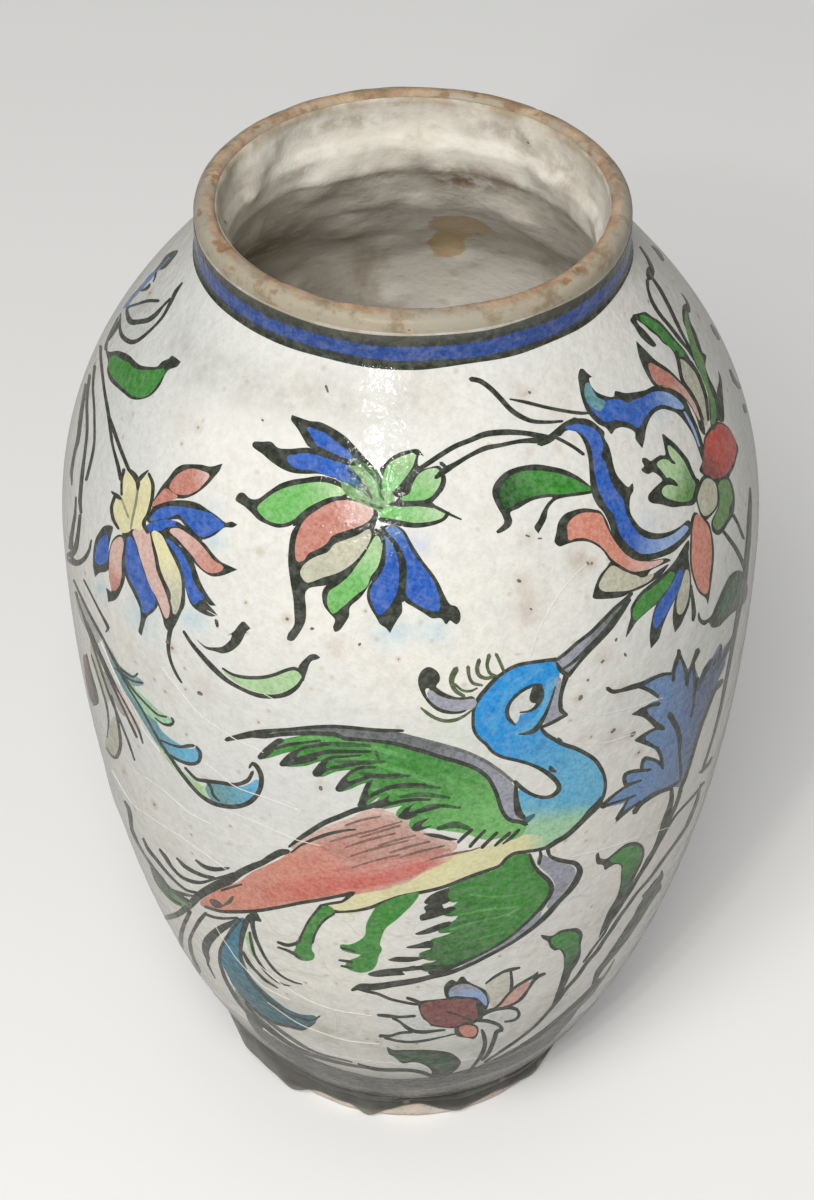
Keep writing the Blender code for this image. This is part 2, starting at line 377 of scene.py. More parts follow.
LEFT_PLUMES = motif(
    "left_plumes",
    wash(Pigment.CREAM, "104,640 112,652 122,672 132,690 142,704 150,714 146,712 132,696 120,678 110,658"),
    wash(
        Pigment.TEAL,
        "112,660 120,674 130,690 142,704 152,718 160,732 170,741 180,747 190,751 198,750 200,756 196,762"
        " 188,762 178,758 168,752 158,742 148,726 136,706 124,686",
        Pigment.SKY,
        "150,720 195,757",
        grow=1.0,
    ),
    wash(
        Pigment.MINT,
        "124,676 136,690 150,704 160,713 168,718 172,724 166,725 156,720 146,712 134,698 126,684",
    ),
    wash(Pigment.PALE_GREEN, "160,748 170,760 182,772 196,783 208,790 210,797 198,791 184,778 170,762"),
    wash(
        Pigment.TEAL,
        "208,786 222,786 240,789 250,786 257,782 255,795 245,801 230,803 217,802 210,795",
        Pigment.SKY,
        "215,792 262,792",
        grow=1.0,
    ),
    wash(Pigment.CREAM, "111,730 116,718 119,740 117,755 111,751 108,742", grow=1.0),
    wash(
        Pigment.ROSE,
        "85,655 88,665 92,680 97,695 98,703 93,702 89,688 86,670",
        Pigment.PLUM,
        "89,668 96,702",
    ),
    wash(Pigment.OLIVE, "78,598 85,606 94,624 101,640 95,641 88,630 81,614", density=0.4),
    wash(Pigment.PLUM, "104,672 110,682 119,698 128,714 124,715 115,701 107,687", density=0.45),
    wash(Pigment.PINK, "118,684 124,693 134,711 140,727 136,728 128,714 120,698", density=0.5),
    wash(
        Pigment.TEAL,
        "106,646 112,655 120,667 130,675 138,679 143,684 134,685 124,679 114,667",
        density=0.8,
    ),
    wash(Pigment.CREAM, "92,640 98,655 104,675 110,700 106,700 99,678 93,658"),
    stroke(
        "74,580,2 84,602,2.5 94,622,3 105,642,3 118,668,3 130,690,3 140,706,3 150,724,3 160,742,4 172,760,4"
        " 185,778,5 200,795,5 215,804,6 235,807,6 250,802,7 259,791,7 261,778,7 257,768,6 252,764,5"
        " 249,768,3"
    ),
    stroke("185,768,3 196,779,4 205,781,5 220,783,5 235,785,5 247,781,6 252,773,5"),
    stroke("207,782,4 211,788,4 213,795,4 219,801,3"),
    stroke("160,740,2.5 172,745,3 180,747,4 188,746,5 193,746,4"),
    stroke("196,747,3 200,754,5 198,762,5 190,764,5 178,760,4 165,752,3"),
    stroke("104,640,2 115,660,2.5 124,676,3 135,692,3 150,708,3 158,715,3 166,717,3"),
    stroke("155,718,2 163,724,3 170,725,5 173,722,4 171,718,2"),
    stroke("118,666,2 126,673,3 133,677,3 137,674,3"),
    stroke("115,668,2 124,675,3 133,681,3 142,683,3"),
    stroke("76,592,2.5 84,616,3 92,640,3 100,665,3 110,695,3 120,720,2.5 128,740,2.5 135,760,2"),
    stroke("80,604,2 92,636,3 105,668,3 118,696,3 130,722,3 137,737,3"),
    stroke("88,622,2 100,652,2.5 115,684,2.5 128,708,2.5 138,728,3 143,743,2"),
    stroke("92,655,2 100,680,2.5 107,705,2.5 109,722,2 108,737,1.5"),
    stroke("112,695,2 118,720,3 121,745,4 117,757,5 112,755,3 107,747,2"),
    stroke("84,580,2 92,596,2 100,612,2.5 108,628,4 106,632,2"),
    stroke("87,654,1.5 91,672,2.5 96,690,3 98,703,3 94,705,2"),
    turns=BOTH_SIDES,
    weight=0.72,
)

TEARDROP_LEAF = motif(
    "teardrop_leaf",
    ink(
        "196,640* 205,647 214,648 222,647 230,640 231,635 227,636* 232,633 235,630 238,626 243,622 250,629*"
        " 246,632 242,640 238,646 230,652 222,654 215,652 205,649"
    ),
    ink("214,620 217,621 218,625 216,628"),
    wash(
        Pigment.PALE_GREEN,
        "224,672 240,679 262,681 275,677 290,672 300,673 302,678 298,684 288,692 275,695 258,692 240,685",
    ),
    stroke(
        "183,632,3 190,643,4 200,655,5 212,668,6 225,680,5 240,689,4 258,696,5 275,697,5 287,694,6 297,687,5"
        " 303,678,3"
    ),
    stroke("222,669,2 232,675,3 245,678,4 262,678,4 275,675,4 285,671,4 294,669,4 300,672,3"),
    ink(
        "298,668 301,663 305,659 310,655 316,655 320,658* 316,660 312,661 309,665 307,671 305,677 303,682"
        " 301,676 298,672"
    ),
    turns=BOTH_SIDES,
)

CENTRE_FLOWER = motif(
    "centre_flower",
    # two blue petals above
    ink(
        "292,415* 298,417 310,421 320,422 333,428 345,436 355,446 363,455 370,462 376,470 380,478 372,480"
        " 360,470 350,460 342,461 330,457 318,452 308,446 303,438 297,428 291,420"
    ),
    wash(
        Pigment.BLUE,
        "308,428 315,430 325,434 333,440 342,447 349,453 353,459 345,457 335,453 325,448 318,445 313,437",
        Pigment.SLATE,
        "340,450 362,468",
    ),
    ink(
        "252,446 254,442 262,442 271,442 278,448 290,449 300,448 310,448 320,452 335,458 345,462 350,468"
        " 345,476 335,478 320,474 305,474 293,473 282,469 270,461 262,454 256,450"
    ),
    wash(
        Pigment.BLUE,
        "288,457 297,455 308,454 320,457 332,461 342,465 345,472 338,476 325,474 315,470 305,469 295,467"
        " 290,463",
    ),
    # green petal on the left
    ink(
        "235,500 238,494 243,493 250,499 258,499 268,492 280,484 292,480 305,478 320,476 335,479 345,486"
        " 350,495 340,497 328,500 316,504 306,512 298,520 290,526 278,528 268,525 258,520 250,512 243,506"
        " 238,503"
    ),
    wash(
        Pigment.LIGHT_GREEN,
        "258,508 266,500 278,492 292,487 308,484 322,483 335,486 345,492 336,497 322,500 312,505 302,511"
        " 293,519 282,523 270,521 262,515",
        Pigment.PALE_GREEN,
        "300,500 345,491",
    ),
    # coral and cream petal with its tail
    ink(
        "288,560 291,534 300,521 318,504 340,497 365,502 378,512 374,530 370,545 362,558 352,570 342,579"
        " 328,585 310,588 305,594 306,610 305,622 300,632 293,641 287,640 288,634 294,625 294,612 293,598"
        " 290,580"
    ),
    wash(
        Pigment.CORAL,
        "297,560 296,545 300,530 306,520 316,512 328,505 342,501 358,503 372,508 370,518 362,524 348,529"
        " 332,535 326,543 318,548 308,553 303,560",
        Pigment.PINK,
        "330,524 372,510",
    ),
    wash(
        Pigment.CREAM,
        "301,572 305,565 315,558 328,553 335,545 345,541 358,536 369,530 370,540 364,549 355,560 345,568"
        " 335,573 322,577 308,582 303,578",
    ),
    # green petal below
    ink(
        "322,597 323,590 328,584 340,578 350,568 360,557 368,545 372,535 376,528 380,533 382,545 380,560"
        " 378,572 372,580 366,590 360,598 350,607 349,616 345,623 340,630 335,632 333,627 335,620 330,614"
        " 324,606"
    ),
    wash(
        Pigment.LIGHT_GREEN,
        "328,600 330,592 340,585 350,576 358,565 366,554 372,543 377,536 381,545 380,558 376,568 370,576"
        " 366,586 356,594 347,602 340,608 333,613 329,607",
        Pigment.PALE_GREEN,
        "352,588 378,545",
    ),
    # where the petals meet
    wash(
        Pigment.MID_GREEN,
        "342,474 352,464 364,464 376,474 389,486 394,502 386,513 374,508 358,501 344,490",
        density=0.95,
    ),
    wash(
        Pigment.BLUE,
        "335,462 346,466 356,474 364,484 358,488 346,482 336,477",
        Pigment.DEEP_TEAL,
        "340,470 362,486",
    ),
    stroke("352,458,3 364,466,4 374,476,4 382,488,3", Pigment.DEEP_GREEN),
    stroke("348,470,3 358,478,3 366,488,4 372,498,3"),
    stroke("366,476,4 374,486,4 378,497,4", Pigment.LIGHT_GREEN),
    stroke("352,484,2 360,490,3 368,496,2", Pigment.DEEP_GREEN),
    stroke("376,470,3 380,480,4 380,492,3 384,500,2", Pigment.DEEP_GREEN),
    stroke("362,500,3 372,505,4 382,508,3", Pigment.DEEP_GREEN),
    stroke("384,486,3 388,496,4 390,506,3", Pigment.LIGHT_GREEN),
    # two blue petals below
    ink(
        "378,530 384,530 392,540 398,550 402,556 402,575 403,590 402,603 402,612 397,620 393,627 390,633*"
        " 386,628 380,624 376,617 370,607 367,598 368,588 374,578 380,568 383,555 382,540"
    ),
    wash(
        Pigment.BLUE,
        "384,536 390,542 395,552 398,565 398,580 396,592 391,602 385,610 379,614 374,605 371,595 373,586"
        " 379,578 385,567 387,553 385,543",
        Pigment.SLATE,
        "389,562 386,530",
    ),
    ink(
        "380,527 388,525 398,526 405,531 410,540 416,550 424,562 432,572 439,583 444,594 450,604 456,606"
        " 460,612 460,620 456,624 450,620 446,624 441,618 432,618 424,613 414,607 404,600 402,585 403,565"
        " 400,555 394,543 387,533"
    ),
    wash(
        Pigment.BLUE,
        "386,528 395,527 402,533 407,543 412,553 418,561 425,570 432,580 437,592 439,603 438,610 430,609"
        " 420,605 410,598 406,592 406,575 406,558 402,550 396,541 390,533",
        Pigment.SLATE,
        "402,552 388,522",
    ),
    stroke("381,531,3 384,544,4 383,557,5 379,570,5 373,580,4"),
    stroke("393,539,3 400,551,5 404,565,6 404,582,6 403,600,5"),
    stroke("294,525,4 305,513,6 318,505,6 332,499,5 346,497,3"),
    stroke("336,459,4 346,462,6 355,464,4"),
    # pale green cup
    ink(
        "380,470 385,463 390,458 398,453 408,450 418,449 424,456* 419,455 418,465 424,467 416,475 410,483"
        " 406,492 400,497 394,495"
    ),
    wash(
        Pigment.LIGHT_GREEN,
        "386,470 392,462 402,457 414,454 413,463 408,472 402,480 396,487 388,492 384,482",
        Pigment.PALE_GREEN,
        "390,486 414,456",
    ),
    ink(
        "398,498 404,490 410,480 418,471 430,467 440,466 446,478 444,488 438,496 432,503 433,508 418,506"
        " 405,507 393,505"
    ),
    wash(
        Pigment.LIGHT_GREEN,
        "402,498 410,494 414,483 420,474 430,469 438,470 440,480 436,489 430,496 420,500 410,501",
        Pigment.PALE_GREEN,
        "410,498 438,470",
    ),
    wash(
        Pigment.LIGHT_GREEN,
        "380,514 388,508 400,508 415,507 428,508 440,511 444,514 440,520 425,522 408,521 395,519 384,518",
        Pigment.PALE_GREEN,
        "390,514 444,514",
    ),
    stroke("380,519,5 395,522,7 415,525,6 432,523,5 443,519,4 448,513,5"),
    stroke("432,505,4 442,510,4 452,515,3 461,519,2"),
    stroke("391,504,5 400,503,6 412,503,6 424,503,7 433,505,5"),
    # stems and tendrils
    stroke(
        "420,468,5 428,463,6 440,455,6 455,446,6 470,440,6 485,434,7 505,432,7 525,433,6 540,436,7 550,439,9",
    ),
    stroke("436,477,5 445,470,8 455,464,6 470,455,5 485,448,6 500,445,5 520,441,5 540,440,8"),
    stroke("441,463,5 446,467,4"),
    stroke("540,443,8 550,438,9 558,430,6 565,424,5 575,419,5"),
    stroke("555,437,4 565,442,4 575,448,4 583,454,4"),
    stroke("471,379,6 480,381,6 490,388,6 500,398,6 510,409,6 520,416,6 532,421,5 548,422,4 562,421,3"),
    stroke("510,399,2 525,402,4 545,407,4 565,411,4 580,413,4 588,413,3"),
    turns=BOTH_SIDES,
)

MID_LEAF = motif(
    "mid_leaf",
    ink(
        "496,531 500,527 504,522 502,515 498,508 494,500 492,492 494,484 500,476 508,470 520,466 535,464"
        " 550,466 563,469 574,474 583,480 592,488 594,492 580,495 565,497 555,500 548,508 546,518 542,526"
        " 538,533* 534,527 538,520 542,511 547,503 552,497 540,498 530,501 518,508 510,512 512,520 510,526"
        " 503,531 498,533"
    ),
    wash(
        Pigment.LEAF_GREEN,
        "500,492 504,484 510,477 518,473 530,471 545,472 558,474 570,478 580,483 590,489 578,491 562,493"
        " 545,493 530,496 516,502 506,507 502,500",
        Pigment.DEEP_GREEN,
        "540,478 505,500",
    ),
    turns=BOTH_SIDES,
)

LOTUS = motif(
    "lotus",
    # top sepal
    ink(
        "580,369 583,369 587,373 592,377* 589,378 590,384 594,390 600,394 610,397 614,396 615,391 625,393"
        " 635,392 645,390 653,386 660,385 668,387 675,391 683,397 688,405 692,415 697,426 701,438 704,450"
        " 703,462 700,455 695,440 690,430 683,420 676,413 668,410 662,409 655,412 650,418 646,428 644,440"
        " 642,448* 638,443 635,438 635,433 630,429 622,427 615,429 611,434 606,428 598,424 590,416 585,408"
        " 581,396 579,385 578,376"
    ),
    wash(
        Pigment.BLUE,
        "590,392 598,400 606,402 612,400 622,401 628,404 633,401 642,398 650,394 658,392 668,394 677,400"
        " 683,408 676,408 668,405 660,404 653,407 647,413 642,420 638,427 630,422 622,420 614,419 606,421"
        " 598,416 590,406 586,398",
        Pigment.PALE_BLUE,
        "640,405 682,404",
    ),
    wash(Pigment.TEAL, "586,384 589,384 592,391 597,398 604,402 600,410 592,406 586,398 585,391"),
    stroke("684,412,2 690,423,3 695,434,3 699,446,2", Pigment.PALE_BLUE),
    # left sepal
    ink(
        "556,435 562,424 570,420 580,418 590,420 598,426 604,432 604,438 608,445 611,455 613,465 616,474"
        " 622,482 628,487 632,483 633,490 630,496 629,505 630,513 634,520 640,527 650,532 660,533 670,531"
        " 680,526 688,520 692,528 689,535 680,545 672,552 660,557 648,560 636,559 626,552 618,543 612,534"
        " 608,522 603,512 597,505 592,495 590,485 589,470 588,458 585,446 580,436 573,430 565,431 560,436"
    ),
    wash(
        Pigment.BLUE,
        "566,428 575,425 585,426 594,430 600,438 602,446 600,455 604,463 607,472 610,482 616,492 622,500"
        " 624,510 628,520 634,530 642,537 652,540 662,539 674,534 684,526 687,528 682,535 674,542 664,548"
        " 652,552 640,552 630,545 621,535 617,524 614,514 608,507 603,498 599,490 596,478 594,465 592,450"
        " 588,440 580,432",
        Pigment.PALE_BLUE,
        "630,530 668,544",
    ),
    # bud
    ink(
        "662,434 668,438 675,444 682,452 688,460 692,470 696,478 699,480 697,488 696,500 692,505 682,506"
        " 672,507 660,504 652,503 648,500 648,495 652,490 658,484 662,480 658,475 652,472 648,474 643,472"
        " 641,469 644,466 642,462 642,458 646,458 650,461 655,458 660,455 665,455 664,446"
    ),
    wash(
        Pigment.PALE_GREEN,
        "668,446 674,451 681,459 686,468 690,477 694,484 692,493 690,499 682,501 672,499 665,496 662,491"
        " 666,486 672,486 677,487 673,480 668,478 664,473 660,468 657,464 662,460 668,461 672,462 670,455",
        Pigment.MID_GREEN,
        "672,470 692,490",
    ),
    stroke("667,455,4 671,461,4 674,463,3"),
    stroke("668,479,5 673,482,5 676,485,4"),
    # red, cream and green knobs
    ink(
        "704,438 708,430 712,425 718,422 724,424 730,430 735,440 738,449 736,458 734,466 730,474 728,478"
        " 722,480 715,482 708,478 702,474 699,470 702,462 703,450"
    ),
    wash(
        Pigment.RED,
        "706,440 711,432 718,425 725,427 731,434 735,445 735,453 732,462 728,470 722,476 714,478 706,475"
        " 703,468 704,455",
        Pigment.ROSE,
        "718,450 712,475",
    ),
    ink("697,488 701,478 706,474 714,480 718,488 719,498 717,507 711,515 705,520 700,515 697,505 695,497"),
    wash(Pigment.CREAM, "700,490 704,481 708,479 714,484 716,495 715,505 710,512 704,515 700,508 698,498"),
    ink(
        "716,480 722,477 728,477 732,485 734,495 734,507 732,516 727,524 722,532 717,535 712,531 711,522"
        " 714,515 718,506 719,495"
    ),
    wash(
        Pigment.MID_GREEN,
        "719,484 726,480 730,488 731,500 728,508 727,516 722,524 717,529 713,524 715,517 719,508 720,497",
    ),
    # salmon petals
    ink(
        "694,512 700,516 708,522 711,532 713,545 713,560 711,578 709,593 707,604* 705,598 698,592 693,580"
        " 690,568 689,552 690,535 690,522"
    ),
    wash(
        Pigment.SALMON,
        "696,515 703,521 708,530 710,545 710,560 708,576 706,592 700,590 695,578 692,563 692,545 693,528",
    ),
    ink(
        "554,541 556,532 558,522 564,514 573,510 583,508 593,509 600,511 606,520 610,530 617,541 625,551"
        " 636,558 650,560 665,558 670,560 660,565 650,570 644,578 636,575 625,572 615,566 609,560 602,550"
        " 594,544 586,541 576,541 568,543 560,546 557,545"
    ),
    wash(
        Pigment.SALMON,
        "568,532 568,525 572,519 580,514 590,513 600,515 604,524 609,534 616,545 625,555 636,561 650,562"
        " 662,560 655,565 644,569 632,570 622,565 612,558 604,548 595,541 585,537 575,537 569,539",
        Pigment.PINK,
        "615,552 658,562",
    ),
    # cream, green, blue and cream petals below
    ink(
        "593,598 593,592 596,582 600,574 606,567 611,561 618,568 628,573 640,577 650,575 662,567 668,564"
        " 660,575 650,582 640,588 630,592 622,596 610,598"
    ),
    wash(
        Pigment.CREAM,
        "599,586 602,578 608,569 613,566 622,571 632,575 642,578 652,574 648,580 638,585 628,589 615,590"
        " 604,590",
    ),
    ink(
        "625,637* 627,628 630,617 630,608 634,600 640,592 648,585 658,577 668,568 676,558 682,548 688,540"
        " 688,550 684,562 676,578 668,590 660,600 650,608 641,616 635,622 630,630"
    ),
    wash(
        Pigment.LEAF_GREEN,
        "633,610 637,602 644,594 652,588 662,580 670,572 674,575 668,586 660,596 652,604 643,612 636,619"
        " 633,617",
    ),
    ink(
        "650,648* 649,635 651,620 654,608 660,597 667,588 674,575 680,562 686,545 688,560 684,578 678,592"
        " 672,603 666,615 661,628 658,638"
    ),
    wash(
        Pigment.BLUE,
        "653,622 655,611 661,600 668,590 674,580 679,570 682,575 678,588 672,600 666,611 660,620 655,627",
    ),
    ink("674,632* 672,620 673,605 676,595 681,580 685,565 687,555 690,575 690,592 688,605 684,615 680,624"),
    wash(Pigment.CREAM, "677,598 681,585 686,570 688,580 687,595 684,606 680,613 677,612"),
    stroke("690,585,3 692,600,4 693,612,5 692,620,3"),
)

SHOULDER_LEAVES = motif(
    "shoulder_leaves",
    ink(
        "636,341* 645,350 655,360 668,369 680,381 690,393 698,405 703,420 705,435 700,430 695,415 688,403"
        " 678,393 668,387 655,386 648,377 642,365 638,353"
    ),
    wash(
        Pigment.CORAL,
        "649,364 658,368 668,374 677,382 684,389 690,398 696,408 700,420 697,415 690,403 682,394 672,388"
        " 660,385 653,378",
        Pigment.PINK,
        "660,376 698,412",
    ),
    ink("634,316 638,324 644,330 650,337 656,345 653,347 647,343 640,336 634,326 630,320"),
    ink(
        "632,316 640,313 645,312 652,317 660,322 668,331 676,341 684,350 690,360 694,368 690,376 681,380"
        " 678,370 676,360 673,352 669,347 663,343 657,336 650,331 644,325"
    ),
    wash(
        Pigment.LEAF_GREEN,
        "640,316 648,318 658,325 668,336 677,346 684,354 680,356 672,348 665,342 658,334 650,327 643,322",
    ),
    wash(
        Pigment.CREAM,
        "680,360 688,366 695,376 700,388 705,405 706,425 703,418 698,405 690,392 683,380 680,370",
    ),
    stroke("690,362,4 697,373,4 702,385,4 706,400,4 708,420,3"),
    stroke("676,352,5 679,365,4 682,380,4 690,392,4 697,405,4 702,420,4"),
    stroke("640,247,2 646,256,3 650,264,4 653,272,4"),
    ink("647,268 652,265 654,273 652,279 648,280 646,274"),
    stroke("647,280,4 648,290,3 652,302,4 660,315,4 670,327,4 680,340,4 688,350,3 694,360,2"),
    stroke("652,278,3 660,290,4 668,305,4 676,322,4 684,338,3 692,352,3"),
    ink(
        "681,293* 686,299 689,305 690,312 688,313 690,322 695,332 699,343 702,352 706,356 705,366 709,378"
        " 714,388 717,396 718,410 717,425 712,430 710,420 709,405 707,390 703,378 697,368 693,358 690,345"
        " 687,332 683,322 682,312 683,305 686,303"
    ),
    wash(
        Pigment.MID_GREEN,
        "686,312 688,325 692,336 696,348 700,355 703,362 706,378 710,392 714,402 715,418 712,424 711,408"
        " 708,392 702,376 697,364 692,350 688,335 685,322",
    ),
    ink("718,371* 721,378 722,388 723,400 724,415 723,422 718,420 717,405 717,390 719,380"),
    stroke("711,325,2 715,332,4 719,339,3"),
    stroke("730,370,2 734,380,4 740,388,3"),
    stroke("744,405,3 745,409,3 746,412,3"),
    stroke("652,246,2 658,252,4 663,260,3"),
)

RIGHT_STEM = motif(
    "right_stem",
    stroke(
        "750,488,2 750,500,5 749,520,7 748,540,8 746,560,8 744,580,8 738,610,7 734,632,6 729,660,5 724,685,5"
        " 719,710,4 713,733,3 708,750,3 704,762,3 701,772,3"
    ),
    stroke("733,515,5 738,525,4 743,538,4"),
    stroke("722,530,4 728,538,6 735,548,6 741,560,6 745,572,5"),
    ink(
        "698,612 700,618 704,620 710,616 713,610 718,598 724,585 729,576 735,571 741,571 745,578 747,590"
        " 744,602 738,608 730,614 724,620 718,626 711,627 708,622 703,625 698,621 697,615"
    ),
    wash(
        Pigment.DEEP_GREEN,
        "716,615 720,603 726,590 731,580 737,576 742,582 742,593 737,603 729,609 721,616",
    ),
    stroke("711,757,2 708,763,4 703,769,4 699,772,3"),
    stroke(
        "700,784,2 697,797,4 692,811,5 686,825,4 678,838,4 668,852,4 658,866,4 648,880,4 637,893,4 627,907,4"
        " 618,920,5 608,935,5 598,950,5 588,962,5 578,976,5 566,990,5 556,1003,5 546,1015,4 533,1028,4"
        " 518,1040,4 500,1052,4 485,1062,3"
    ),
    stroke(
        "703,782,3 695,793,3 686,803,3 676,814,3 668,826,4 660,840,4 652,853,4 644,867,4 637,880,3 630,892,3"
        " 622,905,3 612,920,3 604,934,3 594,948,3 584,962,3"
    ),
    ink(
        "662,870 663,876 661,882 661,888 656,895 650,905 643,916 636,927 629,938 621,948 613,958 605,968"
        " 598,978 591,988* 596,972 603,962 611,951 618,940 626,928 633,917 638,907 643,899 642,896 648,889"
        " 654,881 659,876"
    ),
    stroke("600,980,6 588,993,6 574,1006,6 560,1018,6 543,1032,6 525,1044,6 507,1054,5 495,1060,3"),
    weight=0.62,
)

SERRATED_LEAF = motif(
    "serrated_leaf",
    wash(
        Pigment.SLATE,
        "644,683 652,678 662,676 670,676 674,668 678,662 682,668 686,676 690,668 694,674 696,690 700,680"
        " 704,672 708,664 712,660 718,655 722,662 718,672 712,684 706,698 702,712 696,728 692,745 688,762"
        " 684,776 680,784 673,784 666,786 655,790 645,795 636,802 628,808 622,812 628,803 634,796 624,800"
        " 612,803 606,804 614,796 624,789 634,784 640,780 630,783 626,780 628,775 634,772 645,772 655,770"
        " 650,767 643,768 644,762 650,761 658,764 661,768 661,758 658,750 652,745 646,741 645,737 650,732"
        " 657,730 662,729 656,722 650,715 647,708 652,704 658,702 660,698 654,692 648,687",
        Pigment.DUSK,
        "655,740 712,690",
        grow=1.5,
    ),
    wash(
        Pigment.DUSK,
        "700,690 704,676 709,664 716,650 720,644 720,652 726,645 732,637 735,631 731,642 726,652 723,662"
        " 719,672 713,686 706,694 702,696",
        density=0.8,
    ),
    stroke("607,688,5 612,691,5 620,690,4 630,687,6 640,684,6 650,679,4 662,674,4 672,673,3"),
    stroke("636,685,5 645,688,5 652,692,5 657,696,4"),
    stroke("644,708,4 650,705,4 658,703,5"),
    ink("631,714 637,710 641,707 645,707 648,713 652,718 658,724 662,729 656,729 650,723 643,717 636,715"),
    ink(
        "634,740 640,735 648,730 658,726 660,728 652,731 646,735 645,739 650,742 658,748 654,748 646,745"
        " 638,742"
    ),
    stroke("647,715,4 655,723,6 662,728,6"),
    stroke("656,747,5 660,755,4 661,763,4 662,768,2"),
    stroke("641,768,4 642,762,4 645,758,5 652,759,4 658,762,4 662,768,3"),
    stroke("626,786,5 624,780,5 625,774,4 632,771,4 642,770,4 650,769,3"),
    stroke("627,784,4 634,782,3 641,780,2"),
    stroke("640,780,3 628,785,3 616,793,3 607,801,4 602,806,6"),
    stroke("602,807,4 612,803,3 622,800,3 630,797,3 635,795,2"),
    stroke("628,798,3 624,806,3 620,813,4 617,819,5"),
    stroke("618,818,4 626,811,4 634,805,3 640,801,3"),
    stroke("634,812,6 640,804,5 650,796,6 660,791,5 668,788,5 672,785,4 678,781,3"),
    stroke("672,680,4 673,670,4 675,662,5 678,655,5 678,650,4"),
    stroke("678,652,3 682,662,4 685,672,5 686,684,5"),
    stroke("686,680,3 689,670,3 692,662,4 695,655,5 697,650,6"),
    stroke("692,662,4 693,672,4 694,684,4 693,696,4 692,706,3 690,716,3"),
    stroke("696,690,2 700,680,4 704,670,5 709,662,4 711,659,3"),
    stroke("697,677,2 694,690,3 693,700,3"),
    stroke("720,645,3 718,655,4 712,665,3"),
    stroke("735,631,2 729,643,4 722,656,5 716,668,4"),
    stroke(
        "721,680,4 718,684,6 713,690,5 709,700,5 705,712,4 700,725,4 696,738,4 692,752,4 688,766,4 684,778,4"
        " 680,788,4 678,798,4"
    ),
    ink(
        "668,711 671,712 675,719 679,728 681,738 680,750 681,765 681,780 679,783 678,765 677,750 676,738"
        " 673,728 669,721 666,715"
    ),
    # stalk
    stroke(
        "671,788,4 671,798,5 669,808,6 664,822,6 660,836,6 654,850,5 648,860,5 642,870,4 636,880,4 630,890,3",
    ),
    stroke("680,790,4 676,803,4 671,815,3 666,826,3 660,838,3 654,850,3"),
    turns=BOTH_SIDES,
)

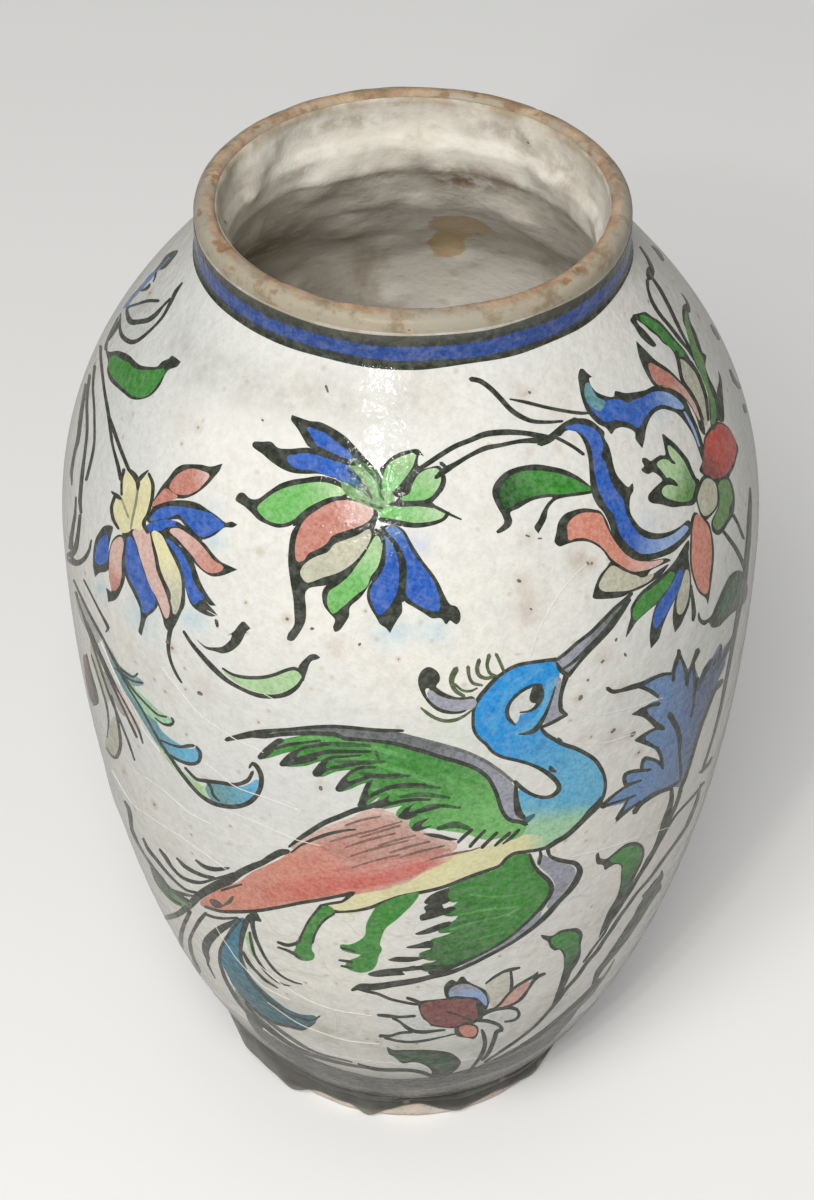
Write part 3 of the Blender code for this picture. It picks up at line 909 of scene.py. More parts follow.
BIRD = motif(
    "bird",
    # body, belly and breast
    wash(
        Pigment.BUTTER,
        "332,909 345,903 352,897 365,892 385,890 400,886 415,880 430,872 440,866 455,858 470,853 485,850"
        " 497,846 510,842 522,838 530,842 540,846 528,849 515,853 505,859 500,865 490,869 475,873 460,878"
        " 445,884 430,889 412,893 395,897 380,903 365,908 350,911",
        grow=2.0,
    ),
    wash(
        Pigment.SALMON,
        "203,903 212,896 225,889 240,884 252,875 265,869 280,862 290,855 300,848 312,840 326,834 340,829"
        " 352,822 365,814 380,812 392,816 402,820 412,826 420,832 432,838 445,842 455,846 448,852 432,857"
        " 430,862 420,872 408,880 395,884 382,888 370,890 352,893 335,895 310,900 285,905 260,908 235,908"
        " 215,906",
        Pigment.PINK,
        "310,885 400,832",
        grow=1.5,
    ),
    wash(
        Pigment.RED,
        "262,892 290,880 325,872 360,866 395,858 425,851 450,850 452,858 425,872 390,885 350,891 300,899"
        " 268,901",
        density=0.3,
    ),
    wash(
        Pigment.RED,
        "285,890 310,881 345,876 380,870 412,861 440,856 444,862 415,874 380,884 340,890 300,896",
        density=0.35,
    ),
    wash(Pigment.RED, "335,886 365,878 395,871 425,862 440,862 420,872 392,882 362,888", density=0.4),
    wash(
        Pigment.PINK,
        "292,848 305,839 322,830 338,824 352,819 366,812 376,813 362,818 345,825 328,832 312,839 300,847",
    ),
    wash(
        Pigment.RED,
        "296,866 328,844 358,826 384,820 418,838 444,850 418,858 380,864 338,870",
        density=0.22,
    ),
    wash(
        Pigment.UMBER,
        "318,842 345,828 370,817 395,818 425,836 450,848 425,856 385,860 345,860",
        density=0.22,
    ),
    stroke("330,842,2 345,838,3 360,834,3 378,830,2", Pigment.UMBER),
    stroke("345,848,2 360,843,3 378,838,3 395,834,2", Pigment.UMBER),
    stroke("350,857,2 368,851,3 388,846,3 408,841,2", Pigment.UMBER),
    stroke("360,838,2 380,832,3 400,826,3", Pigment.UMBER),
    stroke("345,826,2 360,821,3 380,817,2", Pigment.UMBER),
    stroke("378,846,2 395,841,3 415,836,2", Pigment.UMBER),
    stroke("390,853,2 410,847,3 430,842,2", Pigment.UMBER),
    stroke("400,858,2 420,852,3 445,846,2", Pigment.UMBER),
    stroke("352,868,1.5 375,861,2.5 400,855,2", Pigment.UMBER),
    stroke("370,832,2 385,827,2.5 402,822,2", Pigment.UMBER),
    stroke("430,860,2 450,855,3 470,851,2 480,848,1", Pigment.UMBER),
    wash(Pigment.PLUM, "211,899 217,900 223,905 217,906"),
    stroke("224,905,2 230,901,5 233,897,4", Pigment.OLIVE),
    # head, neck and breast
    wash(
        Pigment.PEACOCK,
        "556,664 545,663 532,664 520,667 510,670 502,675 495,681 487,690 481,699 476,709 475,720 477,731"
        " 482,738 489,744 496,750 505,754 518,757 530,760 542,765 552,771 559,779 562,787 560,794 554,798"
        " 545,801 536,801 528,797 521,792 521,800 524,810 522,818 520,826 524,834 530,840 545,842 556,838"
        " 566,832 575,825 583,817 590,809 596,801 600,791 601,780 598,770 592,762 584,756 574,751 562,746"
        " 551,741 543,735 540,730* 534,733 526,736 519,735 528,730 536,725 542,718 548,708 552,696 555,682",
        Pigment.SKY,
        "500,715 585,775",
        grow=2.0,
    ),
    wash(
        Pigment.SKY,
        "521,800 524,810 522,818 520,826 524,834 530,840 545,842 556,838 566,832 575,825 583,817 590,809"
        " 575,806 555,808 538,806",
        Pigment.MINT,
        "556,800 546,826",
        grow=2.0,
    ),
    wash(
        Pigment.BUTTER,
        "512,842 522,836 536,836 552,839 545,846 535,849 522,850",
        Pigment.MINT,
        "520,846 552,838",
    ),
    wash(
        Pigment.SKY,
        "548,680 556,678 556,692 551,706 545,717 536,727 522,735 512,733 526,726 537,715 543,703",
        density=0.6,
    ),
    wash(
        Pigment.SKY,
        "486,722 494,714 500,700 510,684 524,674 540,668 528,680 514,692 504,708 498,724 492,734",
        density=0.3,
    ),
    wash(
        Pigment.PALE,
        "510,705 515,697 523,690 533,686 541,686 541,695 538,703 533,709 525,712 520,713 518,717 516,722"
        " 511,717",
    ),
    wash(Pigment.LAVENDER, "558,678 559,690 557,703 560,711 552,717 545,721 550,710 555,696", grow=1.5),
    stroke("541,685,5 533,685,4 524,689,4 516,695,4 510,702,4 507,710,5 508,717,5 512,722,4 515,725,2"),
    stroke("520,712,2 528,711,3 534,708,4 538,703,5 541,696,6 541,689,6"),
    ink("533,686 538,684 542,686 544,692 543,699 540,703 536,703 531,702 529,698 530,693"),
    stroke("519,734,2 527,733,4 534,730,6 540,723,6 546,712,4 551,699,3 555,686,2"),
    stroke(
        "556,659,5 545,660,4 532,662,4 520,664,4 510,668,4 501,674,4 493,681,5 485,690,5 478,699,5 474,709,4"
        " 473,720,4 474,730,4 479,738,4 486,744,4 493,752,4 503,757,4 516,760,4 530,764,4 541,769,5"
        " 550,775,6 557,782,6 559,788,6 556,793,5 549,797,4 540,797,4 531,794,4 523,789,5 515,782,5"
    ),
    ink("549,771 550,765 557,772"),
    stroke(
        "540,727,4 546,734,5 554,739,5 563,744,5 575,748,5 585,753,5 594,759,5 600,767,5 604,776,4 605,786,4"
        " 603,796,4 601,800,4"
    ),
    ink("556,741 558,737 562,740 561,744"),
    stroke("602,797,5 597,805,8 590,812,8 583,820,6 575,828,6 566,836,6 556,842,6 547,848,6"),
    stroke("522,824,4 527,820,7 534,815,4", Pigment.DEEP_TEAL),
    # beak
    wash(
        Pigment.GREY,
        "560,664 570,655 582,645 595,633 608,619 620,607 612,620 600,635 588,648 577,660 568,670",
        Pigment.LAVENDER,
        "612,616 580,652",
        grow=3.0,
    ),
    stroke("557,659,4 566,652,4 576,643,4 590,632,4 602,620,4 614,608,4 624,600,5 631,593,4"),
    stroke("563,668,3 572,662,4 585,650,5 597,638,5 608,626,5 618,613,5 626,603,5"),
    stroke("568,675,5 576,665,4 586,653,4 598,641,4 610,628,4 620,613,5 629,599,4"),
    stroke("556,662,3 560,669,6 566,674,6"),
    stroke("566,675,7 562,688,5 560,700,5 561,710,6 566,714,4"),
    stroke("566,714,4 556,720,4 548,724,4 541,727,3"),
    # crest
    ink(
        "420,690 418,681 420,673 425,668 430,667 437,671 440,677 439,682 436,686 440,690 447,694 456,697"
        " 466,697 472,696 475,699 466,700 452,700 442,698 434,694 428,688 425,690 428,698 433,703 440,708"
        " 450,711 460,711 468,709 462,713 450,714 440,712 432,707 425,699"
    ),
    wash(
        Pigment.LAVENDER,
        "430,692 437,697 448,701 462,702 474,701 472,706 460,708 448,708 438,704 431,698",
        grow=1.5,
    ),
    stroke("421,708,2 427,713,4 435,718,4 445,721,4 455,720,4 464,716,3 472,710,2", Pigment.OLIVE),
    stroke("456,669,7 452,677,7 452,684,6 456,691,5 464,696,4", Pigment.OLIVE),
    stroke("455,684,3 462,690,3 470,691,3 477,688,2", Pigment.OLIVE),
    stroke("468,667,5 469,676,4 473,683,4 482,685,3", Pigment.OLIVE),
    stroke("479,660,5 477,668,5 479,675,5 486,678,4 494,676,4", Pigment.OLIVE),
    stroke("489,655,5 487,665,4 490,673,4 497,676,3", Pigment.OLIVE),
    stroke("496,654,4 499,660,4 502,667,4 504,672,3", Pigment.OLIVE),
    # upper wing
    wash(
        Pigment.LEAF_GREEN,
        "285,742 300,739 320,737 335,738 345,741 360,743 380,744 395,747 410,751 425,755 440,760 455,764"
        " 470,769 479,775 487,783 492,792 496,803 500,812 507,819 517,824 524,826 520,834 510,838 500,836"
        " 490,838 478,836 468,832 455,830 440,828 425,826 413,828 412,822 418,817 405,818 398,815 404,808"
        " 412,803 400,804 385,807 378,805 382,799 390,794 385,792 374,798 364,806 361,802 366,790 372,782"
        " 362,782 348,788 338,790 342,784 350,774 358,768 350,768 335,770 322,775 316,773 320,766 328,760"
        " 318,760 305,764 288,765 284,762 292,756 300,750 285,751 272,755 262,757 265,751 275,745",
        Pigment.LIGHT_GREEN,
        "430,760 500,830",
        grow=1.5,
    ),
    wash(
        Pigment.GREY,
        "276,733 300,731 330,730 360,732 385,734 405,737 425,743 445,749 465,756 482,764 495,773 505,782"
        " 512,788 514,800 513,810 518,818 510,815 505,808 502,797 498,787 492,778 484,770 472,764 455,758"
        " 440,754 420,748 400,742 380,739 360,737 340,735 320,732 300,732",
        Pigment.LAVENDER,
        "400,742 505,790",
        grow=2.0,
    ),
    stroke("285,742,4 310,739,6 340,742,7 372,748,6 405,757,5", Pigment.LIGHT_GREEN, 0.5),
    stroke("330,757,4 355,758,6 385,766,7 415,776,6 440,788,4", Pigment.LIGHT_GREEN, 0.4),
    stroke("372,790,4 398,793,6 425,800,6 455,812,4", Pigment.LIGHT_GREEN, 0.4),
    stroke("440,775,5 462,786,8 480,802,8 490,818,5", Pigment.LIGHT_GREEN, 0.35),
    stroke("320,744,4 345,745,6 370,746,4", Pigment.DEEP_GREEN),
    stroke("335,762,3 360,763,5 385,762,3", Pigment.DEEP_GREEN),
    stroke("360,774,4 385,777,6 410,776,3", Pigment.DEEP_GREEN),
    stroke("385,788,4 410,786,6 440,788,3", Pigment.DEEP_GREEN),
    stroke("400,797,4 425,795,6 450,798,3", Pigment.DEEP_GREEN),
    stroke("415,812,3 435,806,5 460,808,3", Pigment.DEEP_GREEN),
    stroke("438,829,5 455,825,8 470,829,5", Pigment.DEEP_GREEN),
    stroke("376,752,5 378,758,3 381,764,2", Pigment.DEEP_GREEN),
    stroke(
        "226,740,5 235,738,6 250,735,8 262,733,7 275,731,4 290,730,4 310,728,4 330,727,4 350,728,4 370,730,4"
        " 390,731,4 403,731,3"
    ),
    stroke("400,735,2 415,738,3 430,742,4 445,746,4 465,752,4 485,761,4 500,771,4 512,781,4", Pigment.GREY),
    stroke("516,785,4 516,795,6 517,805,8 519,813,9 524,818,6"),
    stroke(
        "250,736,5 265,737,5 280,735,5 300,734,5 320,734,5 335,735,5 345,739,5 360,740,4 380,742,4 395,744,5"
        " 410,748,5 425,752,5 440,757,5 455,761,5 470,766,5 480,771,5 488,778,5 493,786,5 497,795,5"
        " 500,805,5 504,814,5 510,820,5 520,822,5 526,824,6"
    ),
    ink("257,757 262,751 270,744 278,739 284,741 276,747 272,753 264,759 259,760"),
    stroke("275,749,4 290,745,4 305,743,3 320,741,3"),
    ink("279,764 286,756 294,751 302,748 300,752 296,757 304,758 314,757 318,759 308,763 292,766 281,767"),
    stroke("300,758,3 315,755,5 330,752,5 350,752,4 370,752,3"),
    stroke("296,752,4 305,748,4 318,746,4 330,745,2"),
    ink("312,773 318,765 324,761 330,759 327,764 326,768 334,769 326,772 320,777 314,777"),
    stroke("330,769,4 345,766,5 358,764,4 370,764,3"),
    stroke("322,762,4 332,758,4 345,757,3 360,756,2"),
    ink("335,789 340,781 347,774 354,769 360,767 353,773 347,779 350,783 360,781 350,787 341,792 337,792"),
    stroke("345,785,4 358,781,5 370,777,5 385,776,4 400,775,3"),
    stroke("343,780,4 352,772,4 362,768,4 375,768,3"),
    ink("357,806 361,798 363,790 367,783 373,780 370,787 368,792 369,797 367,803 366,808 360,808"),
    stroke("366,800,4 375,794,5 390,788,5 405,785,4 425,785,3"),
    ink("368,806 376,802 384,799 390,795 388,801 394,803 386,807 378,809 370,808"),
    stroke("385,806,4 400,802,4 415,800,4 430,800,3"),
    ink("398,817 404,810 410,806 416,803 411,808 409,814 418,815 408,820 402,819"),
    stroke("405,815,4 420,812,4 435,808,4 445,806,2"),
    ink("411,829 416,823 424,820 430,818 424,823 422,827 432,826 424,830 415,832"),
    ink("423,834 432,834 440,835 450,838 458,840 450,841 440,839 430,837"),
    stroke("472,830,4 464,837,4 458,843,3"),
    stroke("485,831,4 478,838,4 470,847,4"),
    stroke("497,833,4 489,841,4 482,848,4"),
    stroke("510,833,4 503,839,4 495,846,3"),
    stroke("519,830,4 511,838,4 503,844,2"),
    # outline of the body
    stroke(
        "165,918,6 178,914,7 190,905,9 200,895,10 215,886,11 230,880,10 240,873,9 252,867,8 262,863,7"
        " 270,858,8 280,853,8 288,852,5"
    ),
    stroke("289,847,3 298,840,5 310,832,6 325,823,6 340,817,6 352,812,6 362,809,6 372,807,5"),
    stroke("291,853,2 300,846,3 315,839,4 330,834,4 345,831,3 355,830,2"),
    stroke("222,890,3 232,887,3 242,884,2"),
    stroke(
        "206,906,4 220,910,4 240,911,4 260,910,4 280,907,4 300,903,4 320,900,4 340,896,4 350,894,5 354,893,3",
    ),
    stroke("353,894,4 346,899,4 342,902,3 330,904,3 320,906,3"),
    stroke(
        "331,911,5 340,912,3 355,911,3 370,908,4 385,902,4 400,897,4 415,894,4 430,891,4 445,887,4 460,881,4"
        " 475,875,4 490,870,4 500,866,4 507,859,5 515,854,5 525,852,4 538,850,4 549,847,4"
    ),
    # lower wing
    wash(
        Pigment.LEAF_GREEN,
        "449,889 460,884 475,878 490,873 502,868 508,861 516,856 529,855 533,860 537,869 544,876 550,883"
        " 552,891 549,899 541,911 528,922 515,934 502,943 488,952 474,958 460,964 448,969 436,971 426,971"
        " 420,968 424,965 434,963 440,959* 430,960 421,957 420,954 427,951 435,949* 430,947 431,941 440,938"
        " 449,935 459,930* 448,932 439,932 447,926 456,921 460,915* 450,916 443,914 452,909 462,900* 452,902"
        " 447,897",
        Pigment.DEEP_GREEN,
        "530,890 390,990",
    ),
    wash(
        Pigment.LAVENDER,
        "541,856 550,859 562,864 573,868 574,876 566,888 557,899 548,908 552,898 556,888 554,880 548,873"
        " 542,868 538,862",
    ),
    wash(
        Pigment.LAVENDER,
        "541,912 530,923 515,936 498,947 480,957 462,965 470,962 488,954 505,945 522,934 536,922",
    ),
    stroke("460,915,2 490,910,2.5 520,907,2", Pigment.LIGHT_GREEN, 0.4),
    stroke("450,930,2 480,921,3 510,915,2", Pigment.LIGHT_GREEN, 0.4),
    stroke("470,895,2 495,897,2 520,895,1", Pigment.LIGHT_GREEN, 0.4),
    stroke("450,945,2 480,938,3 505,932,1", Pigment.LIGHT_GREEN, 0.4),
    stroke(
        "530,855,4 533,864,4 540,873,5 548,880,6 552,888,6 549,897,5 540,909,4 528,921,3 512,935,3 496,946,3"
        " 480,955,3 462,963,4 446,970,4 430,973,5"
    ),
    stroke(
        "548,850,5 550,856,4 558,860,5 568,862,5 576,864,6 580,870,7 577,880,7 570,890,6 560,901,5 548,914,6"
        " 535,926,5 520,937,4 503,948,4 486,957,4 468,966,4 450,973,5 432,977,5 415,981,6 395,984,7"
        " 375,987,8 360,987,7 352,990,3"
    ),
    stroke("540,850,3 541,856,4 539,864,4"),
    ink("424,903 429,897 436,893 444,890 450,889 448,896 450,901 443,905 434,906 428,905"),
    ink("420,916 426,913 424,908 432,904 442,905 444,909 452,907 456,909 451,913 442,916 432,919 421,921"),
    ink("415,934 425,930 438,925 449,922 452,924 446,928 438,931 428,934 418,935"),
    ink("406,947 418,944 428,941 433,942 433,947 420,948 410,948"),
    ink("388,960 396,957 408,957 420,957 428,957 420,960 410,962 398,962 390,961"),
    ink("368,974 376,971 388,969 402,968 415,966 410,970 402,972 405,975 392,976 378,977 370,976"),
    stroke("405,970,4 420,968,5 440,967,5 455,966,4"),
    stroke("462,908,3 478,905,4 500,903,2", Pigment.DEEP_GREEN, 0.45),
    stroke("455,924,4 476,920,4 502,916,2", Pigment.DEEP_GREEN, 0.45),
    stroke("450,934,3 470,929,4 492,925,2", Pigment.DEEP_GREEN, 0.4),
    stroke("436,945,4 458,943,4 482,937,2", Pigment.DEEP_GREEN, 0.45),
    stroke("436,955,4 456,951,4 476,946,2", Pigment.DEEP_GREEN, 0.4),
    stroke("477,911,2 486,910,2.5 496,908,1.5", Pigment.LIGHT_GREEN, 0.6),
    stroke("498,918,1.5 509,914,2.5 521,908,1.5", Pigment.LIGHT_GREEN, 0.5),
    # legs
    wash(
        Pigment.LEAF_GREEN,
        "377,908 390,901 405,896 418,894 412,904 404,912 395,920 385,928 381,936 379,944 381,949 378,955"
        " 376,963 372,969 362,972 352,970 346,966 350,961 358,958 362,954 352,952 343,949 341,945 350,945"
        " 360,941 366,935 367,925 372,915",
    ),
    stroke("341,947,2 348,949,3 355,951,3"),
    stroke("339,960,2 346,961,3 352,962,4"),
    stroke("341,966,2 347,967,3 352,968,3"),
    wash(
        Pigment.LEAF_GREEN,
        "322,907 331,908 334,913 328,917 322,920 318,927 314,935 312,942 311,950 314,955 312,959 305,960"
        " 298,958 294,953 297,947 296,942 301,938 304,930 309,921 315,913",
    ),
    stroke("320,907,4 314,914,3 308,922,3 303,932,3 300,939,4"),
    stroke("334,914,3 326,919,3 320,925,3 315,934,3 313,942,3"),
    stroke("278,942,3 288,945,4 296,943,4 301,940,3"),
    stroke("278,947,2 287,950,3 295,954,4 300,958,3"),
    turns=BOTH_SIDES,
)

TAIL = motif(
    "tail",
    stroke(
        "125,801,2 129,809,4 131,817,4 133,828,3 138,840,3 144,852,3 152,865,3 161,877,3.5 171,889,3.5"
        " 181,893,4 190,895,3 198,895,2"
    ),
    stroke("144,838,2 149,848,3 157,858,3 166,869,3 176,880,3 187,889,3 198,892,3"),
    stroke("160,849,2 167,858,4 173,867,3 182,876,3 193,881,4 203,882,3.5 214,879,3 225,876,3 233,873,2"),
    stroke("177,858,2 185,866,4 195,872,4 205,876,4 214,878,4"),
    stroke("196,860,2 204,866,4 213,869,5 223,869,4 229,868,2"),
    wash(
        Pigment.DEEP_GREEN,
        "152,866 157,872 163,880 170,887 178,894 187,900 192,904 187,907 180,905 172,900 165,893 159,885"
        " 154,876",
        Pigment.MID_GREEN,
        "165,888 180,902",
    ),
    stroke("150,862,1 155,871,4 162,881,5 170,888,3 179,895,4 188,901,5"),
    stroke("168,895,2 174,900,3 181,904,2"),
    stroke("206,913,4 200,920,5 194,930,4 190,940,4 191,950,4 194,960,3 200,972,3"),
    stroke("190,912,5 184,925,5 181,937,5 182,950,4 187,962,4 196,975,5 206,988,5 214,995,4"),
    stroke("206,914,3 215,917,3 225,918,3 238,917,3"),
    ink(
        "240,917 232,920 222,924 212,930 205,937 202,944 203,952 206,960 208,966 210,958 209,952 211,946"
        " 215,940 222,933 232,926 240,921"
    ),
    stroke("208,964,2 212,972,1.5 215,978,1"),
    wash(
        Pigment.PLUME,
        "236,924 243,919 246,922 241,934 239,945 240,955 243,965 247,975 255,985 265,995 276,1004 288,1012"
        " 302,1017 314,1018 312,1023 303,1027 292,1025 280,1023 268,1018 256,1009 245,997 235,983 228,970"
        " 223,958 223,948 228,937",
        Pigment.DEEP_TEAL,
        "230,945 265,1010",
        grow=1.5,
    ),
    wash(Pigment.PALE_GREEN, "247,936 251,932 253,945 256,957 252,953 248,944"),
    wash(Pigment.OLIVE, "236,990 244,998 252,1008 260,1018 268,1028 258,1022 248,1012 240,1001", density=0.7),
    stroke("232,960,3 238,975,4 248,990,4 260,1003,4 272,1013,3", Pigment.DEEP_TEAL),
    stroke(
        "241,919,4 232,930,4 224,942,4 220,953,4 221,966,4 226,980,4 233,993,4 242,1006,4 252,1017,4"
        " 262,1027,4"
    ),
    stroke(
        "247,920,8 243,933,7 241,945,5 241,957,4 245,970,3 252,982,4 262,993,4 274,1004,4 287,1013,3"
        " 300,1018,3 312,1020,3 320,1016,1.5"
    ),
    stroke("254,1008,3 264,1017,4 276,1023,4 290,1026,4 303,1029,3 312,1024,3"),
    stroke("253,918,6 254,930,5 258,943,4 264,955,3 272,967,3 282,976,2 294,982,2 302,984,1"),
    stroke("250,932,3 252,945,4 256,957,3 263,968,3 272,978,2 282,984,2 290,986,1"),
    stroke("243,952,3 248,961,4 256,971,3 265,980,3 273,985,2 278,988,1"),
    ink("246,917 250,913 256,911 260,917 262,921 255,920 250,922"),
    stroke("246,1002,4 255,1015,4 266,1027,4 280,1038,4 295,1047,3 308,1052,2"),
    turns=BOTH_SIDES,
)

LOW_LEAVES = motif(
    "low_leaves",
    ink(
        "596,860 596,855 599,853 600,858 606,859 613,854 620,848 628,843 637,842 643,846 644,853 642,862"
        " 638,870 634,878 630,888 626,898 621,908 614,916 606,928 599,938* 602,928 607,915 612,905 617,896"
        " 620,886 621,876 621,866 616,864 610,867 605,870 603,865 597,864"
    ),
    wash(
        Pigment.LEAF_GREEN,
        "610,860 617,854 626,848 636,846 641,851 639,861 635,869 630,878 627,888 623,895 622,886 623,875"
        " 623,864 617,862",
        Pigment.DEEP_GREEN,
        "628,856 628,885",
    ),
    ink(
        "541,935 547,936 553,936 560,931 570,929 579,929 583,935 581,945 581,955 577,964 572,972 567,983"
        " 562,993 556,1003 550,1010* 556,995 561,980 564,968 564,957 560,950 555,951 550,947 548,942 543,939"
    ),
    wash(
        Pigment.LEAF_GREEN,
        "552,940 558,936 566,933 577,934 578,944 577,955 572,962 567,972 565,968 567,957 563,949 556,947",
        Pigment.DEEP_GREEN,
        "568,940 570,968",
    ),
    turns=BOTH_SIDES,
)

FOOT_FLOWER = motif(
    "foot_flower",
    ink(
        "445,996 444,988 447,983 452,980 457,982 460,978 464,977 467,981 474,985 481,988 486,991 490,997"
        " 489,1004 486,1010 482,1010 480,1003 476,999 465,998 455,998 448,999"
    ),
    wash(
        Pigment.PALE_BLUE,
        "450,991 455,987 462,985 470,986 478,990 482,993 486,999 486,1005 482,1001 477,997 466,996 455,995"
        " 450,996",
        Pigment.LAVENDER,
        "470,996 470,986",
    ),
    ink(
        "418,1003 423,1001 432,1000 442,999 455,998 468,997 476,999 481,1005 483,1012 481,1018 477,1022"
        " 470,1025 460,1028 448,1028 438,1027 428,1025 424,1020 420,1013"
    ),
    wash(
        Pigment.ROSE,
        "423,1005 432,1002 445,1001 458,1000 470,1000 477,1003 480,1010 477,1017 472,1020 465,1022 452,1026"
        " 440,1025 430,1022 425,1016 421,1010",
        density=0.85,
    ),
    stroke("445,1011,1.5 455,1014,2 465,1018,3 472,1021,3"),
    ink("455,1027 462,1025 472,1024 478,1027 478,1034 474,1039 468,1038 460,1037 455,1034"),
    wash(Pigment.SALMON, "460,1028 468,1026 475,1028 476,1033 472,1036 464,1035"),
    wash(Pigment.PALE, "398,1018 408,1017 418,1018 426,1022 430,1027 424,1028 414,1027 405,1023"),
    wash(Pigment.PALE, "392,1037 405,1034 420,1033 440,1032 452,1032 440,1036 420,1039 402,1040"),
    stroke("355,988,3 365,991,3 378,994,3 390,999,3 402,1002,3 412,1004,3 420,1005,2"),
    stroke("407,998,3 413,1000,4 420,1003,4"),
    stroke("378,1015,3 388,1016,4 400,1017,3 415,1016,3"),
    stroke("393,1018,4 400,1022,3 406,1027,4 414,1031,4 424,1032,4 434,1031,3 445,1030,2"),
    stroke("380,1036,4 390,1036,3 400,1033,3 412,1032,3"),
    stroke("385,1038,3 398,1041,3 412,1042,3 428,1040,3 442,1037,2 456,1034,1.5"),
    wash(
        Pigment.CREAM,
        "487,985 495,979 503,974 509,972 510,980 510,990 507,996 502,1003 495,1008 490,1002 488,994",
        density=0.5,
    ),
    stroke("486,984,2 495,977,3 504,972,3 511,970,4 520,968,2"),
    stroke("511,972,3 512,982,4 511,991,4"),
    wash(
        Pigment.SALMON,
        "501,1006 508,998 514,992 520,987 528,983 530,987 525,994 518,1001 510,1006",
        density=0.7,
    ),
    stroke("490,1012,3 499,1005,3 508,995,3 516,987,3 526,981,3 535,976,3 538,973,2"),
    stroke("503,1008,3 514,1004,3 522,998,4 529,989,3 533,982,4 538,977,4 545,974,3"),
    wash(Pigment.PALE, "489,1016 497,1013 508,1011 516,1012 516,1016 508,1019 496,1019"),
    stroke("480,1016,5 490,1011,5 500,1009,4 510,1008,4 517,1010,4 519,1015,4 515,1020,3 505,1022,2"),
    wash(Pigment.PALE, "480,1024 490,1023 497,1026 499,1030 490,1029 480,1028"),
    stroke("478,1021,3 486,1021,4 494,1023,4 500,1026,4 502,1030,5"),
    stroke("502,1030,4 497,1032,5 494,1040,5 491,1048,5 487,1055,4 482,1060,3"),
    stroke("482,1030,3 484,1036,5 485,1044,5 483,1052,5 478,1060,4 472,1068,3 466,1074,2"),
    stroke("478,1004,6 481,1012,8 480,1018,6"),
    ink(
        "387,1047 393,1050 402,1050 415,1050 428,1050 440,1051 450,1053 457,1057 461,1062 458,1068 452,1073"
        " 444,1078 438,1081 430,1078 432,1072 428,1067 420,1063 412,1062 402,1063 395,1057 389,1054"
    ),
    wash(
        Pigment.DEEP_GREEN,
        "392,1053 402,1053 415,1053 430,1054 445,1057 453,1061 450,1067 442,1072 436,1068 425,1062 412,1059"
        " 400,1060",
        density=0.7,
    ),
    stroke("358,1064,2 370,1068,4 385,1070,4 400,1070,4 415,1071,4 427,1074,4 434,1078,3"),
    turns=BOTH_SIDES,
)

FOOT_BAND = motif(
    "foot_band",
    stroke(
        "245,1011,1 252,1022,6 264,1035,9 290,1053,12 330,1072,14 380,1084,14 430,1083,14 473,1073,12"
        " 513,1060,10 547,1040,8 570,1018,4 580,1006,1",
        Pigment.SOOT,
        0.95,
    ),
    stroke("244,1000,3 267,1026,4 300,1050,5 340,1063,4 380,1070,2", Pigment.SOOT, 0.95),
    stroke("238,990,2 256,1010,3 282,1032,4 315,1052,3 352,1062,2", Pigment.SOOT, 0.9),
    stroke("480,1067,4 515,1052,6 547,1033,6 585,1000,5 604,977,3 615,960,1", Pigment.SOOT, 0.8),
    turns=BOTH_SIDES,
)

CRAZING = motif(
    "crazing",
    *(
        stroke(path, Pigment.CRACK, 0.34)
        for path in (
            "161,668,0.8 180,692,1.3 198,714,1.4 234,739,1.4 263,753,0.8",
            "112,770,0.8 132,803,1.4 158,822,1.4 184,839,1.4 227,870,0.8",
            "132,770,0.8 158,786,1.4 188,812,1.4 211,824,0.8",
            "205,763,0.8 234,786,1.3 262,797,1.3 299,811,0.8",
            "205,803,0.8 247,819,1.4 293,839,1.2 320,846,0.8",
            "100,640,0.8 122,690,1.2 142,728,1.3 160,752,0.8",
            "586,563,0.8 566,584,1.3 550,608,1.4 538,632,1.3 530,656,0.8",
            "562,707,0.8 594,714,1.4 631,707,1.4 662,697,0.8",
            "576,743,0.8 605,742,1.2 634,733,0.8",
            "573,857,0.8 605,849,1.4 642,836,1.4 668,827,0.8",
            "256,962,0.8 290,990,1.4 328,1008,1.4 372,1016,0.8",
            "268,1002,0.8 300,1024,1.3 345,1040,1.3 380,1044,0.8",
            "215,925,0.8 236,957,1.2 262,985,1.2 290,1000,0.8",
            "330,1000,0.8 336,1020,1.1 334,1042,0.8",
            "207,611,0.8 216,616,1.1 226,622,0.8",
            "263,694,0.8 276,701,1.1 289,707,0.8",
        )
    ),
    turns=BOTH_SIDES,
    weight=0.6,
)

IRON_SPECKS = motif(
    "iron_specks",
    *(
        stroke(path, Pigment.IRON, 0.85)
        for path in (
            "518,580,4 520,581,3",
            "530,608,2 531,609,2",
            "587,562,2.5 588,564,2",
            "526,535,2.5 529,536,2",
            "538,538,2 541,538,2",
            "529,392,3 530,393,2.5",
            "579,699,3 581,696,4",
            "601,662,2.5 603,660,2.5",
            "615,640,2.5 616,638,2",
            "625,655,3 624,653,2",
            "611,732,2 614,729,3",
            "631,735,4 634,732,3",
            "198,693,4 201,695,3",
            "166,642,3 168,643,2",
            "311,629,3.5 313,629,3",
            "359,645,3 360,644,3",
            "320,788,4 321,790,3.5",
            "326,386,3 328,392,2",
            "216,623,4 217,627,3",
            "587,680,2.5 588,679,2",
            "292,760,3 293,761,2",
            "262,420,2.5 263,421,2",
        )
    ),
    turns=BOTH_SIDES,
    weight=0.9,
)

